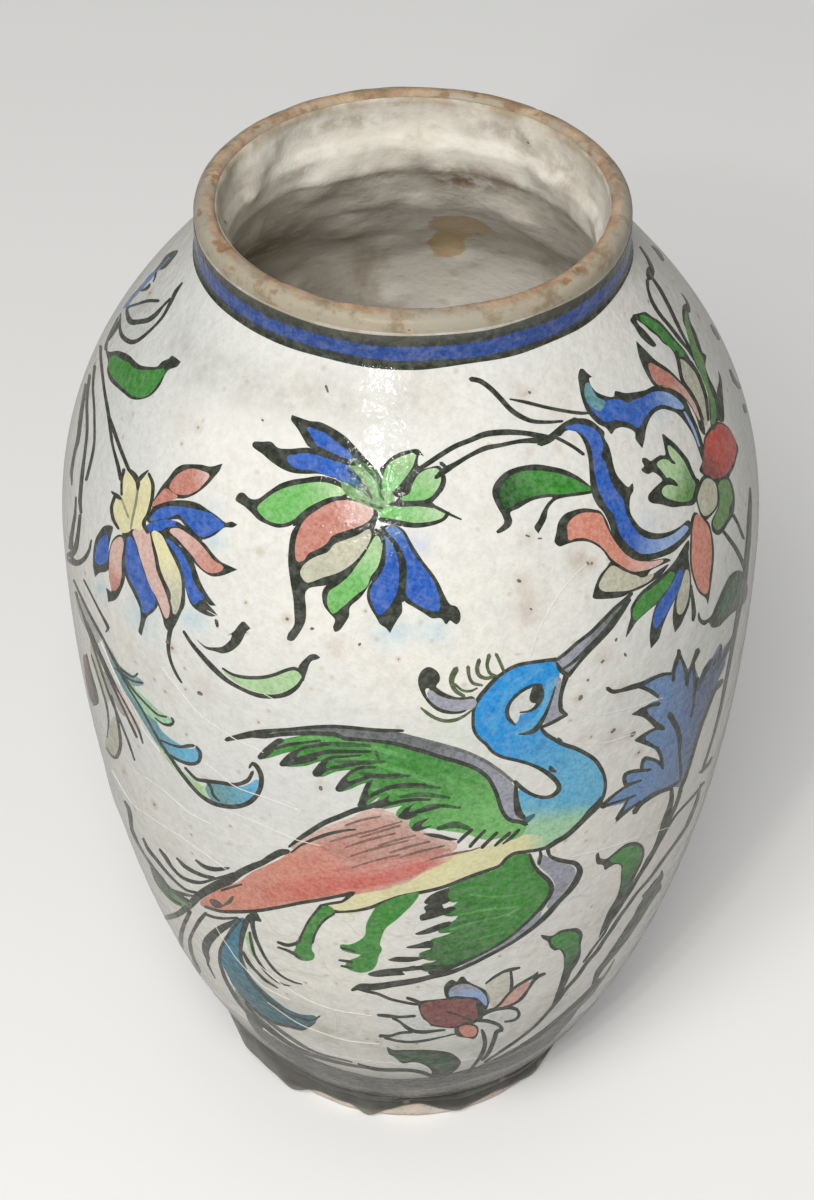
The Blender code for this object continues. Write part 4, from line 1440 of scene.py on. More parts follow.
PAINTING = (
    NECK_LEAVES,
    LEFT_FLOWER,
    LEFT_PLUMES,
    TEARDROP_LEAF,
    CENTRE_FLOWER,
    MID_LEAF,
    SHOULDER_LEAVES,
    LOTUS,
    RIGHT_STEM,
    SERRATED_LEAF,
    BIRD,
    TAIL,
    LOW_LEAVES,
    FOOT_FLOWER,
    IRON_SPECKS,
)


@dataclass(frozen=True)
class Haze:
    """A soft patch in the glaze, of bleeding colour, staining, painted shade or painted sheen: its place and
    spread in picture pixels, and its strength.
    """

    x: float
    y: float
    spread: float
    pigment: Pigment
    strength: float


HAZES = (
    Haze(140, 615, 20, Pigment.SKY, 0.4),
    Haze(100, 590, 12, Pigment.SKY, 0.45),
    Haze(192, 618, 14, Pigment.SKY, 0.34),
    Haze(213, 540, 10, Pigment.SKY, 0.35),
    Haze(214, 508, 8, Pigment.SKY, 0.35),
    Haze(392, 634, 14, Pigment.SKY, 0.38),
    Haze(432, 632, 14, Pigment.SKY, 0.34),
    Haze(417, 545, 10, Pigment.PALE_BLUE, 0.45),
    Haze(648, 522, 10, Pigment.PALE_BLUE, 0.4),
    Haze(660, 415, 8, Pigment.PALE_BLUE, 0.45),
    Haze(455, 735, 18, Pigment.MINT, 0.3),
    Haze(530, 607, 12, Pigment.STAIN, 0.55),
    Haze(525, 580, 12, Pigment.STAIN, 0.3),
    Haze(580, 556, 13, Pigment.STAIN, 0.5),
    Haze(527, 538, 8, Pigment.STAIN, 0.35),
    Haze(337, 648, 9, Pigment.STAIN, 0.5),
    Haze(203, 690, 12, Pigment.STAIN, 0.3),
    Haze(604, 655, 9, Pigment.STAIN, 0.45),
    Haze(621, 690, 8, Pigment.STAIN, 0.4),
    Haze(577, 700, 7, Pigment.STAIN, 0.4),
    Haze(610, 737, 9, Pigment.STAIN, 0.45),
    Haze(582, 738, 7, Pigment.STAIN, 0.4),
    Haze(628, 735, 6, Pigment.STAIN, 0.45),
    Haze(520, 395, 9, Pigment.STAIN, 0.3),
    Haze(527, 394, 4, Pigment.STAIN, 0.5),
    # partly painted shade: grey-brown round the neck root where the neck and lip shade the shoulder, over
    # real staining
    Haze(180, 420, 14, Pigment.STAIN, 0.18),
    Haze(420, 390, 22, Pigment.STAIN, 0.22),
    Haze(300, 385, 20, Pigment.STAIN, 0.15),
    # painted shadow: a grey arc on the shoulder below the neck band, where the neck shades it
    Haze(178, 346, 22, Pigment.SHADE, 0.35),
    Haze(206, 368, 24, Pigment.SHADE, 0.4),
    Haze(245, 386, 24, Pigment.SHADE, 0.4),
    Haze(290, 396, 24, Pigment.SHADE, 0.35),
    Haze(340, 400, 22, Pigment.SHADE, 0.3),
    Haze(400, 402, 18, Pigment.SHADE, 0.25),
    # partly painted shade round the neck root, over real staining
    Haze(560, 400, 22, Pigment.STAIN, 0.15),
    Haze(323, 785, 6, Pigment.STAIN, 0.5),
    # partly painted shade: grey-brown on the lower body near the foot, which faces away from the light, over
    # a grey wash
    Haze(320, 1030, 40, Pigment.SMOKE, 0.5),
    Haze(400, 1048, 32, Pigment.SMOKE, 0.45),
    Haze(480, 1046, 30, Pigment.SMOKE, 0.45),
    Haze(545, 1012, 30, Pigment.SMOKE, 0.4),
    Haze(265, 985, 28, Pigment.SMOKE, 0.35),
    # painted sheen: a paler patch on the upper left of the shoulder where the light falls brightest
    Haze(215, 428, 40, Pigment.CRACK, 0.5),
    Haze(285, 430, 30, Pigment.CRACK, 0.4),
)


def unit(rows: np.ndarray) -> np.ndarray:
    """Rows brought to a length of one."""
    return rows / np.maximum(np.linalg.norm(rows, axis=1), SHORTEST)[:, None]


@dataclass(frozen=True)
class VaseForm:
    """The finished outer form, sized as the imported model, with the small unevenness of handwork."""

    height: float = 0.315
    belly_radius: float = 0.1034
    belly_height: float = 0.205
    neck_radius: float = 0.0620
    neck_height: float = 0.016
    foot_radius: float = 0.0515
    foot_height: float = 0.0095
    lip_height: float = 0.0040
    foot_flare: float = math.radians(39.0)
    foot_fullness: float = 0.41
    lower_belly_fullness: float = 0.06
    upper_belly_fullness: float = 0.556
    shoulder_fullness: float = 0.24
    shoulder_angle: float = math.radians(33.5)
    out_of_round: float = 0.00035
    ridge_depth: float = 0.00006
    seam_ridge: float = 0.00045
    seam_height: float = 0.115
    stations: int = 190
    curve_steps: int = 400
    line_rows: int = 2000
    slope_step: float = 0.0008
    line: np.ndarray = field(init=False, repr=False, compare=False, default=None)

    def __post_init__(self) -> None:
        """Work out the outline once."""
        object.__setattr__(self, "line", self.outline())

    @property
    def neck_root(self) -> float:
        """Height at which the neck begins."""
        return self.height - self.neck_height

    def cubic(self, low: tuple, low_handle: tuple, high_handle: tuple, high: tuple, steps: int) -> np.ndarray:
        """Points of a cubic curve.

        Args:
            low: lower end as (radius, height).
            low_handle: handle of the lower end.
            high_handle: handle of the upper end.
            high: upper end.
            steps: number of stretches.

        Returns:
            Rows of (radius, height).
        """
        t = np.linspace(0.0, 1.0, steps + 1)[:, None]
        ends = [np.array(point) for point in (low, low_handle, high_handle, high)]
        s = 1.0 - t
        return s**3 * ends[0] + 3 * s * s * t * ends[1] + 3 * s * t * t * ends[2] + t**3 * ends[3]

    def outline(self) -> np.ndarray:
        """The outline as rows of (arc length, radius, height), evenly spaced from the foot up to the lip."""
        root = self.neck_root
        low_rise = self.belly_height - self.foot_height
        high_rise = root - self.belly_height
        foot = (self.foot_radius, self.foot_height)
        belly = (self.belly_radius, self.belly_height)
        neck = (self.neck_radius, root)
        reach = low_rise * self.foot_fullness
        turn = self.foot_flare
        flare = (foot[0] + reach * math.sin(turn), foot[1] + reach * math.cos(turn))
        below = (belly[0], belly[1] - low_rise * self.lower_belly_fullness)
        lower = self.cubic(foot, flare, below, belly, self.curve_steps)
        reach = high_rise * self.shoulder_fullness
        turn = self.shoulder_angle
        slope = (neck[0] + reach * math.sin(turn), neck[1] - reach * math.cos(turn))
        above = (belly[0], belly[1] + high_rise * self.upper_belly_fullness)
        upper = self.cubic(belly, above, slope, neck, self.curve_steps)
        top = np.array([[self.neck_radius, self.height - self.lip_height]])
        points = np.vstack([lower, upper[1:], top])
        arc = np.concatenate([[0.0], np.cumsum(np.hypot(*np.diff(points, axis=0).T))])
        even = np.linspace(0.0, arc[-1], self.line_rows)
        return np.column_stack([even, np.interp(even, arc, points[:, 0]), np.interp(even, arc, points[:, 1])])

    def unevenness(self, angle: np.ndarray, height: np.ndarray) -> np.ndarray:
        """How far the hand-made wall stands out of the true form.

        Args:
            angle: angles about the axis.
            height: heights.

        Returns:
            Radial distances in metres.
        """
        slow = 0.6 * np.sin(2 * angle + 0.7 + 9 * height) + 0.4 * np.sin(3 * angle - 1.9 + 31 * height)
        ridges = np.sin(height * 690 + 0.6 * np.sin(angle + 1.0) + 2.2 * np.sin(height * 57))
        ridges = ridges * np.clip((0.165 - height) / 0.060, 0.15, 1.0)
        seam = np.exp(-(((height - self.seam_height - 0.002 * np.sin(angle + 0.5)) / 0.006) ** 2))
        fade = np.clip((height - self.foot_height) / 0.010, 0.0, 1.0)
        fade = fade * np.clip((self.neck_root - height) / 0.020, 0.0, 1.0)
        return fade * (
            self.out_of_round * slow
            + self.ridge_depth * ridges
            + self.seam_ridge * seam * (0.6 + 0.4 * np.cos(angle - math.pi))
        )

    def points(self, angle: np.ndarray, arc: np.ndarray, lift: float = 0.0) -> np.ndarray:
        """Points on the uneven surface.

        Args:
            angle: angles about the axis.
            arc: distances along the outline from the foot.
            lift: height above the surface.

        Returns:
            Rows of x, y, z.
        """
        radius = np.interp(arc, self.line[:, 0], self.line[:, 1])
        height = np.interp(arc, self.line[:, 0], self.line[:, 2])
        radius = radius + self.unevenness(angle, height)
        place = np.column_stack([radius * np.cos(angle), radius * np.sin(angle), height])
        if lift:
            place = place + lift * self.normals(angle, arc)
        return place

    def normals(self, angle: np.ndarray, arc: np.ndarray) -> np.ndarray:
        """Unit normals of the uneven surface at angles and arc lengths."""
        step = self.slope_step
        turn = step * 10
        across = self.points(angle + turn, arc) - self.points(angle - turn, arc)
        higher = np.minimum(arc + step, self.line[-1, 0])
        along = self.points(angle, higher) - self.points(angle, np.maximum(arc - step, 0.0))
        return unit(np.cross(across, along))

    def radius_at(self, height: np.ndarray) -> np.ndarray:
        """Radius of the true form at heights, and nothing above the lip."""
        return np.interp(height, self.line[:, 2], self.line[:, 1], right=0.0)

    def arc_at(self, height: np.ndarray) -> np.ndarray:
        """Arc length at heights."""
        return np.interp(height, self.line[:, 2], self.line[:, 0])

    def inner_line(self, depth: float, bottom: float, top: float, steps: int) -> list[tuple[float, float]]:
        """The outline moved inwards.

        Args:
            depth: distance from the outer surface.
            bottom: lowest height wanted.
            top: highest height wanted.
            steps: number of stretches.

        Returns:
            Upward list of (radius, height).
        """
        slope = unit(np.gradient(self.line[:, 1:], self.line[:, 0], axis=0))
        moved = self.line[:, 1:] + depth * np.column_stack([-slope[:, 1], slope[:, 0]])
        wanted = np.linspace(bottom, top, steps + 1)
        order = np.argsort(moved[:, 1])
        radius = np.interp(wanted, moved[order, 1], moved[order, 0])
        return [(float(r), float(z)) for r, z in zip(radius, wanted)]


@dataclass(frozen=True)
class PhotoView:
    """The camera that the picture was taken with, fitted to the outline of the vase."""

    place: tuple[float, float, float] = (0.0, -1.0064, 0.9501)
    pitch: float = 0.6594
    yaw: float = -0.0010
    roll: float = 0.0061
    focal: float = 4199.0
    width: int = 814
    height: int = 1200
    sensor: float = 36.0
    clip: tuple[float, float] = (0.05, 50.0)
    search: tuple[float, float] = (1.08, 1.62)
    search_steps: int = 1100
    halvings: int = 24

    def axes(self) -> tuple[np.ndarray, np.ndarray, np.ndarray]:
        """Right, up and forward directions of the camera."""
        forward = np.array(
            [
                math.sin(self.yaw) * math.cos(self.pitch),
                math.cos(self.yaw) * math.cos(self.pitch),
                -math.sin(self.pitch),
            ]
        )
        right = np.array([math.cos(self.yaw), -math.sin(self.yaw), 0.0])
        up = np.cross(right, forward)
        turned_right = math.cos(self.roll) * right + math.sin(self.roll) * up
        turned_up = -math.sin(self.roll) * right + math.cos(self.roll) * up
        return turned_right, turned_up, forward

    def on_vase(self, pixels: np.ndarray, form: VaseForm) -> tuple[np.ndarray, np.ndarray]:
        """Find where pixels lie on the vase; a pixel just off its edge takes the nearest place on it.

        Args:
            pixels: rows of x, y.
            form: the vase.

        Returns:
            Angles about the axis and arc lengths.
        """
        right, up, forward = self.axes()
        across = (pixels[:, :1] - self.width / 2) / self.focal
        rise = (self.height / 2 - pixels[:, 1:2]) / self.focal
        rays = forward + across * right + rise * up
        start = np.array(self.place)
        depths = np.linspace(*self.search, self.search_steps)

        def outside(depth: np.ndarray) -> np.ndarray:
            """Distance outside the form at depths along the rays."""
            spot = start + rays[:, None, :] * depth[..., None]
            return np.hypot(spot[..., 0], spot[..., 1]) - form.radius_at(spot[..., 2])

        gap = outside(np.broadcast_to(depths, (len(pixels), len(depths))))
        inside = gap < 0
        hit = inside.any(axis=1)
        first = np.where(hit, inside.argmax(axis=1), gap.argmin(axis=1))
        near = depths[np.maximum(first - 1, 0)]
        far = depths[first]
        for _ in range(self.halvings):
            middle = (near + far) / 2
            within = outside(middle[:, None])[:, 0] < 0
            far = np.where(within, middle, far)
            near = np.where(within, near, middle)
        depth = np.where(hit, far, depths[first])
        spot = start + rays * depth[:, None]
        angle = np.arctan2(spot[:, 1], spot[:, 0])
        return np.where(angle > math.pi / 2, angle - 2 * math.pi, angle), form.arc_at(spot[:, 2])

    def make_camera(self) -> None:
        """Make the scene's camera at the picture's viewpoint."""
        data = bpy.data.cameras.new("photo_camera")
        data.sensor_width = self.sensor
        data.lens = self.focal / self.height * self.sensor
        data.clip_start, data.clip_end = self.clip
        camera = bpy.data.objects.new("photo_camera", data)
        right, up, forward = self.axes()
        turn = Matrix((right, up, -forward)).transposed().to_4x4()
        camera.matrix_world = Matrix.Translation(self.place) @ turn
        bpy.context.scene.collection.objects.link(camera)
        bpy.context.scene.camera = camera


class Bench:
    """A node tree being wired: makes nodes, sets their values and joins them."""

    def __init__(self, tree: bpy.types.NodeTree) -> None:
        """Take the tree to work on."""
        self.tree = tree

    def node(self, kind: str, settings: dict | None = None, **inputs: object) -> bpy.types.Node:
        """Add a node.

        Args:
            kind: Blender's node type.
            settings: properties of the node.
            **inputs: values or sockets for its inputs, with _ for a space in the name.

        Returns:
            The new node.
        """
        made = self.tree.nodes.new(kind)
        for key, value in (settings or {}).items():
            setattr(made, key, value)
        for key, value in inputs.items():
            self.feed(made.inputs[key.replace("_", " ")], value)
        return made

    def feed(self, socket: Socket, value: object) -> None:
        """Give a socket a value or a colour's hex code, or join it to another socket."""
        if isinstance(value, bpy.types.NodeSocket):
            self.tree.links.new(value, socket)
        else:
            socket.default_value = (*hex_linear(value), 1.0) if isinstance(value, str) else value

    def math(self, operation: str, first: object, second: object = 0.0, clamp: bool = False) -> Socket:
        """A Math node's result."""
        made = self.node("ShaderNodeMath", {"operation": operation, "use_clamp": clamp})
        self.feed(made.inputs[0], first)
        self.feed(made.inputs[1], second)
        return made.outputs[0]

    def times(self, first: object, second: object, clamp: bool = False) -> Socket:
        """A product."""
        return self.math("MULTIPLY", first, second, clamp)

    def plus(self, first: object, second: object) -> Socket:
        """A sum."""
        return self.math("ADD", first, second)

    def minus(self, first: object, second: object) -> Socket:
        """A difference."""
        return self.math("SUBTRACT", first, second)

    def sway(self, value: object, reach: float) -> Socket:
        """A noise value moved to lie about nothing, as wide as its reach."""
        return self.times(self.minus(value, 0.5), reach)

    def mix(self, factor: object, first: object, second: object, blend: str = "MIX") -> Socket:
        """A colour mix's result."""
        made = self.node("ShaderNodeMix", {"data_type": "RGBA", "blend_type": blend})
        for index, value in ((0, factor), (6, first), (7, second)):
            self.feed(made.inputs[index], value)
        return made.outputs[2]

    def spread(
        self, value: object, low: object, high: object, least: float = 0.0, most: float = 1.0
    ) -> Socket:
        """A value mapped smoothly from one range to another."""
        made = self.node("ShaderNodeMapRange", {"interpolation_type": "SMOOTHSTEP"})
        for socket, setting in zip(made.inputs[:5], (value, low, high, least, most)):
            self.feed(socket, setting)
        return made.outputs[0]

    def red(self, colour: Socket) -> Socket:
        """The red share of a colour."""
        return self.node("ShaderNodeSeparateColor", Color=colour).outputs[0]

    def rise(self, place: Socket) -> Socket:
        """The height of a place."""
        return self.node("ShaderNodeSeparateXYZ", Vector=place).outputs["Z"]

    def place(self, scale: tuple[float, float, float] = (1.0, 1.0, 1.0)) -> Socket:
        """The piece's own Object coordinates, stretched."""
        coordinates = self.node("ShaderNodeTexCoord").outputs["Object"]
        if scale == (1.0, 1.0, 1.0):
            return coordinates
        return self.node("ShaderNodeMapping", Vector=coordinates, Scale=scale).outputs[0]

    def cloud(self, place: Socket, scale: float, detail: float = 3.0, rough: float = 0.55) -> Socket:
        """A noise value."""
        made = self.node("ShaderNodeTexNoise", Vector=place, Scale=scale, Detail=detail, Roughness=rough)
        return made.outputs["Fac"]

    def cells(self, place: Socket, scale: object, feature: str = "F1") -> bpy.types.Node:
        """A cell pattern."""
        return self.node("ShaderNodeTexVoronoi", {"feature": feature}, Vector=place, Scale=scale)


def node_group(name: str, inputs: dict[str, str], outputs: dict[str, str]) -> tuple[bpy.types.NodeTree, bool]:
    """Find or start a node group.

    Args:
        name: its name.
        inputs: kinds of its inputs by name.
        outputs: kinds of its outputs by name.

    Returns:
        The group, and whether it still has to be wired.
    """
    found = bpy.data.node_groups.get(name)
    if found:
        return found, False
    tree = bpy.data.node_groups.new(name, "ShaderNodeTree")
    for way, sockets in (("INPUT", inputs), ("OUTPUT", outputs)):
        for socket, kind in sockets.items():
            tree.interface.new_socket(socket, in_out=way, socket_type=f"NodeSocket{kind}")
    return tree, True


@dataclass(frozen=True)
class GlazeSpecks:
    """The shared effect of iron specks with brown halos, scattered over a colour."""

    speck: str = "5B4B3C"
    halo: str = "BCA68C"
    halo_reach: float = 3.6
    halo_strength: float = 0.45
    core: float = 0.4
    core_strength: float = 0.85

    def group(self) -> bpy.types.NodeTree:
        """The node group, made once."""
        inputs = {"Colour": "Color", "Scale": "Float", "Rare": "Float", "Size": "Float"}
        tree, fresh = node_group("glaze_specks", inputs, {"Colour": "Color"})
        if not fresh:
            return tree
        bench = Bench(tree)
        given = bench.node("NodeGroupInput").outputs
        size = given["Size"]
        cell = bench.cells(bench.place(), given["Scale"])
        chosen = bench.math("GREATER_THAN", bench.red(cell.outputs["Color"]), given["Rare"])
        apart = cell.outputs["Distance"]
        halo = bench.spread(apart, size, bench.times(size, self.halo_reach), self.halo_strength, 0.0)
        spot = bench.spread(apart, bench.times(size, self.core), size, self.core_strength, 0.0)
        colour = bench.mix(bench.times(halo, chosen), given["Colour"], self.halo)
        colour = bench.mix(bench.times(spot, chosen), colour, self.speck)
        bench.feed(bench.node("NodeGroupOutput").inputs["Colour"], colour)
        return tree

    def over(self, bench: Bench, colour: Socket, scale: float, rare: float, size: float) -> Socket:
        """Scatter the specks over a colour.

        Args:
            bench: the tree being wired.
            colour: the colour below them.
            scale: cells per metre.
            rare: share of cells without a speck.
            size: speck radius as a share of a cell.

        Returns:
            The colour with specks.
        """
        values = {"Colour": colour, "Scale": scale, "Rare": rare, "Size": size}
        return bench.node("ShaderNodeGroup", {"node_tree": self.group()}, **values).outputs["Colour"]


@dataclass(frozen=True)
class GlazeGround:
    """The shared effect of the specked, crazed white ground under the clear glaze."""

    warm: str = "E9E6DC"
    cool: str = "DDDED9"
    stain: str = "C9BFAE"
    shade: str = "B9B6AC"
    crack: str = "9A9284"
    dirt: str = "A89D87"

    def group(self) -> bpy.types.NodeTree:
        """The node group, made once: Colour, Roughness and Height."""
        outputs = {"Colour": "Color", "Roughness": "Float", "Height": "Float"}
        tree, fresh = node_group("glazed_ground", {}, outputs)
        if not fresh:
            return tree
        bench = Bench(tree)
        place = bench.place()
        drift = bench.cloud(place, 11.0, 4.0)
        colour = bench.mix(bench.spread(drift, 0.35, 0.68), self.warm, self.cool)
        blotch = bench.spread(bench.cloud(place, 38.0, 5.0, 0.62), 0.56, 0.78, 0.0, 0.35)
        colour = bench.mix(blotch, colour, self.stain)
        fine = bench.spread(bench.cloud(place, 330.0, 5.0, 0.7), 0.35, 0.75, 0.0, 0.34)
        colour = bench.mix(fine, colour, self.shade)
        dust = bench.spread(bench.cloud(place, 900.0, 3.0, 0.7), 0.45, 0.75, 0.0, 0.25)
        colour = bench.mix(dust, colour, self.shade)
        colour = GlazeSpecks().over(bench, colour, 120.0, 0.90, 0.09)
        colour = GlazeSpecks().over(bench, colour, 330.0, 0.93, 0.12)
        bend = bench.node("ShaderNodeTexNoise", Vector=place, Scale=26.0, Detail=3.0).outputs["Color"]
        bent = bench.mix(0.02, place, bend, "LINEAR_LIGHT")
        flat = bench.node("ShaderNodeMapping", Vector=bent, Scale=(1.0, 1.0, 2.6)).outputs[0]
        crack = bench.cells(flat, 24.0, "DISTANCE_TO_EDGE").outputs["Distance"]
        low = bench.rise(place)
        shown = bench.times(bench.spread(low, 0.095, 0.205, 0.5, 0.12), bench.cloud(place, 31.0, 2.0))
        craze = bench.times(bench.spread(crack, 0.0, 0.012, 1.0, 0.0), shown)
        colour = bench.mix(craze, colour, self.crack)
        worn = bench.spread(bench.cloud(place, 70.0, 5.0, 0.65), 0.3, 0.6, 0.35, 1.0)
        dirt = bench.times(bench.spread(low, 0.3050, 0.3085, 0.0, 0.95), worn)
        colour = bench.mix(dirt, colour, self.dirt)
        peel = bench.cloud(place, 190.0, 2.0)
        lump = bench.cloud(place, 60.0, 3.0)
        grit = bench.times(bench.cloud(place, 430.0, 2.0), 0.34)
        height = bench.plus(bench.plus(bench.times(peel, 0.6), lump), grit)
        height = bench.minus(height, bench.times(craze, 0.2))
        dull = bench.spread(bench.cloud(place, 30.0, 4.0), 0.3, 0.75, 0.07, 0.16)
        out = bench.node("NodeGroupOutput")
        for name, value in (("Colour", colour), ("Roughness", dull), ("Height", height)):
            bench.feed(out.inputs[name], value)
        return tree


class Finish:
    """A material under way, with its Principled shader ready to be fed."""

    def __init__(self, name: str, **constants: float) -> None:
        """Make the material and set what is the same all over it.

        Args:
            name: material name.
            **constants: plain values of the shader's sockets, with _ for a space.
        """
        self.material = bpy.data.materials.new(name)
        self.material.use_nodes = True
        self.bench = Bench(self.material.node_tree)
        self.shader = self.material.node_tree.nodes["Principled BSDF"]
        for key, value in constants.items():
            self.shader.inputs[key.replace("_", " ")].default_value = value

    def ground(self) -> bpy.types.Node:
        """The shared glaze ground placed in this material."""
        return self.bench.node("ShaderNodeGroup", {"node_tree": GlazeGround().group()})

    def attribute(self, name: str) -> bpy.types.Node:
        """A colour attribute of the piece's own mesh."""
        return self.bench.node("ShaderNodeAttribute", {"attribute_name": name})

    def finish(
        self,
        colour: object,
        roughness: object,
        height: object = None,
        depth: float = 0.0008,
        strength: float = 0.6,
    ) -> bpy.types.Material:
        """Feed the shader.

        Args:
            colour: base colour.
            roughness: roughness.
            height: height of the bump, or None.
            depth: depth of the bump in metres.
            strength: strength of the bump.

        Returns:
            The finished material.
        """
        self.bench.feed(self.shader.inputs["Base Color"], colour)
        self.bench.feed(self.shader.inputs["Roughness"], roughness)
        if height is not None:
            bump = self.bench.node("ShaderNodeBump", Height=height, Distance=depth, Strength=strength)
            self.bench.feed(self.shader.inputs["Normal"], bump.outputs[0])
        return self.material


@dataclass(frozen=True)
class ClearGlaze:
    """Glossy clear glaze over the white ground, with colour bleeding and staining, and with painted shade and
    sheen in places.
    """

    def make(self) -> bpy.types.Material:
        """Make the material."""
        finish = Finish("clear_glaze", IOR=1.5)
        ground = finish.ground()
        # hazes in the glaze: colour bleeding and staining, with painted shade and a painted sheen
        haze = finish.attribute("bleed")
        bench = finish.bench
        patchy = bench.spread(bench.cloud(bench.place(), 150.0, 5.0, 0.65), 0.34, 0.66, 0.35, 1.15)
        strength = bench.times(haze.outputs["Alpha"], patchy, True)
        colour = bench.mix(strength, ground.outputs["Colour"], haze.outputs["Color"])
        return finish.finish(colour, ground.outputs["Roughness"], ground.outputs["Height"])


@dataclass(frozen=True)
class PaintFilm:
    """Pigment in the glaze, laid on with a wet brush, so that it pools and grains."""

    name: str
    grain: float = 0.55
    thin: float = 0.90
    dark: str = "20241E"
    darken: float = 0.3

    def make(self) -> bpy.types.Material:
        """Make the material."""
        finish = Finish(self.name, IOR=1.5)
        bench = finish.bench
        ground = finish.ground()
        pigment = finish.attribute("pigment")
        place = bench.place()
        pool = bench.spread(bench.cloud(place, 380.0, 5.0, 0.72), 0.34, 0.60, self.thin, 1.0)
        cover = bench.times(pigment.outputs["Alpha"], pool)
        own = pigment.outputs["Color"]
        grain = bench.times(bench.spread(bench.cloud(place, 820.0, 4.0, 0.75), 0.40, 0.66), self.grain)
        deep = bench.mix(grain, own, bench.mix(1.0, own, own, "MULTIPLY"))
        shade = bench.spread(bench.cloud(place, 95.0, 4.0, 0.6), 0.48, 0.72, 0.0, self.darken)
        deep = bench.mix(shade, deep, bench.mix(0.5, deep, self.dark))
        rise = bench.times(bench.cloud(place, 520.0, 3.0, 0.6), 0.5)
        rise = bench.plus(rise, ground.outputs["Height"])
        colour = bench.mix(cover, ground.outputs["Colour"], deep)
        return finish.finish(colour, ground.outputs["Roughness"], rise)


@dataclass(frozen=True)
class StainedLining:
    """Thin, dull glaze of the inside, stained brown, with painted shadow on its left wall."""

    def make(self) -> bpy.types.Material:
        """Make the material."""
        finish = Finish("stained_lining", IOR=1.48)
        bench = finish.bench
        place = bench.place()
        colour = bench.mix(bench.spread(bench.cloud(place, 24.0, 5.0), 0.32, 0.7), "EBE6DA", "D9D2C4")
        tall = bench.place((1.0, 1.0, 0.35))
        brown = bench.spread(bench.cloud(tall, 33.0, 5.0, 0.65), 0.52, 0.74, 0.0, 0.6)
        colour = bench.mix(brown, colour, "97805F")
        grey = bench.spread(bench.cloud(bench.place((1.0, 1.0, 1.8)), 75.0, 5.0, 0.62), 0.50, 0.70, 0.0, 0.55)
        colour = bench.mix(grey, colour, "B5AB99")
        # brown staining; on the left wall it is partly painted shadow
        marks = bench.node("ShaderNodeSeparateColor", Color=finish.attribute("stain").outputs["Color"])
        patchy = bench.spread(bench.cloud(place, 130.0, 5.0, 0.65), 0.34, 0.6)
        colour = bench.mix(bench.times(marks.outputs[0], patchy), colour, "7F6245")
        edge = bench.plus(marks.outputs[1], bench.sway(bench.cloud(place, 120.0, 2.0), 0.6))
        colour = bench.mix(bench.spread(edge, 0.44, 0.54, 0.0, 0.72), colour, "CFA970")
        colour = bench.mix(bench.spread(edge, 0.66, 0.9, 0.0, 0.5), colour, "DCC49A")
        low = bench.rise(place)
        # darker towards the bottom of the inside
        colour = bench.mix(bench.spread(low, 0.215, 0.296, 0.10, 0.0), colour, "B3A488")
        worn = bench.spread(bench.cloud(place, 65.0, 5.0, 0.65), 0.34, 0.62, 0.35, 1.0)
        rim = bench.times(bench.spread(low, 0.3085, 0.3128, 0.0, 0.9), worn)
        colour = bench.mix(rim, colour, "A08D70")
        colour = GlazeSpecks().over(bench, colour, 150.0, 0.9, 0.1)
        ridges = bench.cloud(bench.place((1.0, 1.0, 1.6)), 85.0, 4.0, 0.6)
        height = bench.plus(bench.cloud(place, 60.0, 5.0, 0.62), bench.times(ridges, 0.35))
        height = bench.plus(height, bench.times(bench.cloud(place, 340.0, 3.0), 0.22))
        rough = bench.spread(bench.cloud(place, 44.0, 3.0), 0.3, 0.7, 0.30, 0.55)
        return finish.finish(colour, rough, height, 0.0013, 0.65)


@dataclass(frozen=True)
class WornLip:
    """The lip's glaze, worn through to buff clay along its crest, with dark grime."""

    crest: float

    def make(self) -> bpy.types.Material:
        """Make the material."""
        finish = Finish("worn_lip", IOR=1.45)
        bench = finish.bench
        place = bench.place()
        buff = bench.mix(bench.spread(bench.cloud(place, 90.0, 5.0, 0.65), 0.35, 0.66), "C5AA8C", "A18266")
        across = bench.node("ShaderNodeVectorMath", {"operation": "LENGTH"})
        bench.feed(across.inputs[0], bench.place((1.0, 1.0, 0.0)))
        stray = bench.sway(bench.cloud(place, 75.0, 5.0, 0.65), 0.011)
        away = bench.minus(bench.plus(across.outputs["Value"], stray), self.crest)
        film = bench.spread(bench.math("ABSOLUTE", away), 0.0009, 0.0022)
        colour = bench.mix(film, buff, bench.mix(bench.cloud(place, 40.0, 4.0), "B6AD98", "9C917B"))
        grime = bench.spread(bench.cloud(place, 150.0, 5.0, 0.7), 0.47, 0.65, 0.0, 0.8)
        colour = bench.mix(grime, colour, "8A745A")
        grey = bench.spread(bench.cloud(place, 55.0, 5.0, 0.65), 0.48, 0.66, 0.0, 0.6)
        colour = bench.mix(grey, colour, "A8A294")
        chipped = bench.red(finish.attribute("wear").outputs["Color"])
        ragged = bench.sway(bench.cloud(place, 380.0, 5.0, 0.7), 1.1)
        chipped = bench.spread(bench.plus(chipped, ragged), 0.15, 0.5, 0.0, 0.8)
        colour = bench.mix(chipped, colour, "94704F")
        colour = GlazeSpecks().over(bench, colour, 240.0, 0.78, 0.14)
        height = bench.plus(bench.cloud(place, 420.0, 4.0, 0.7), bench.times(film, 0.5))
        rough = bench.spread(film, 0.0, 1.0, 0.70, 0.30)
        return finish.finish(colour, rough, height, 0.0005, 0.55)


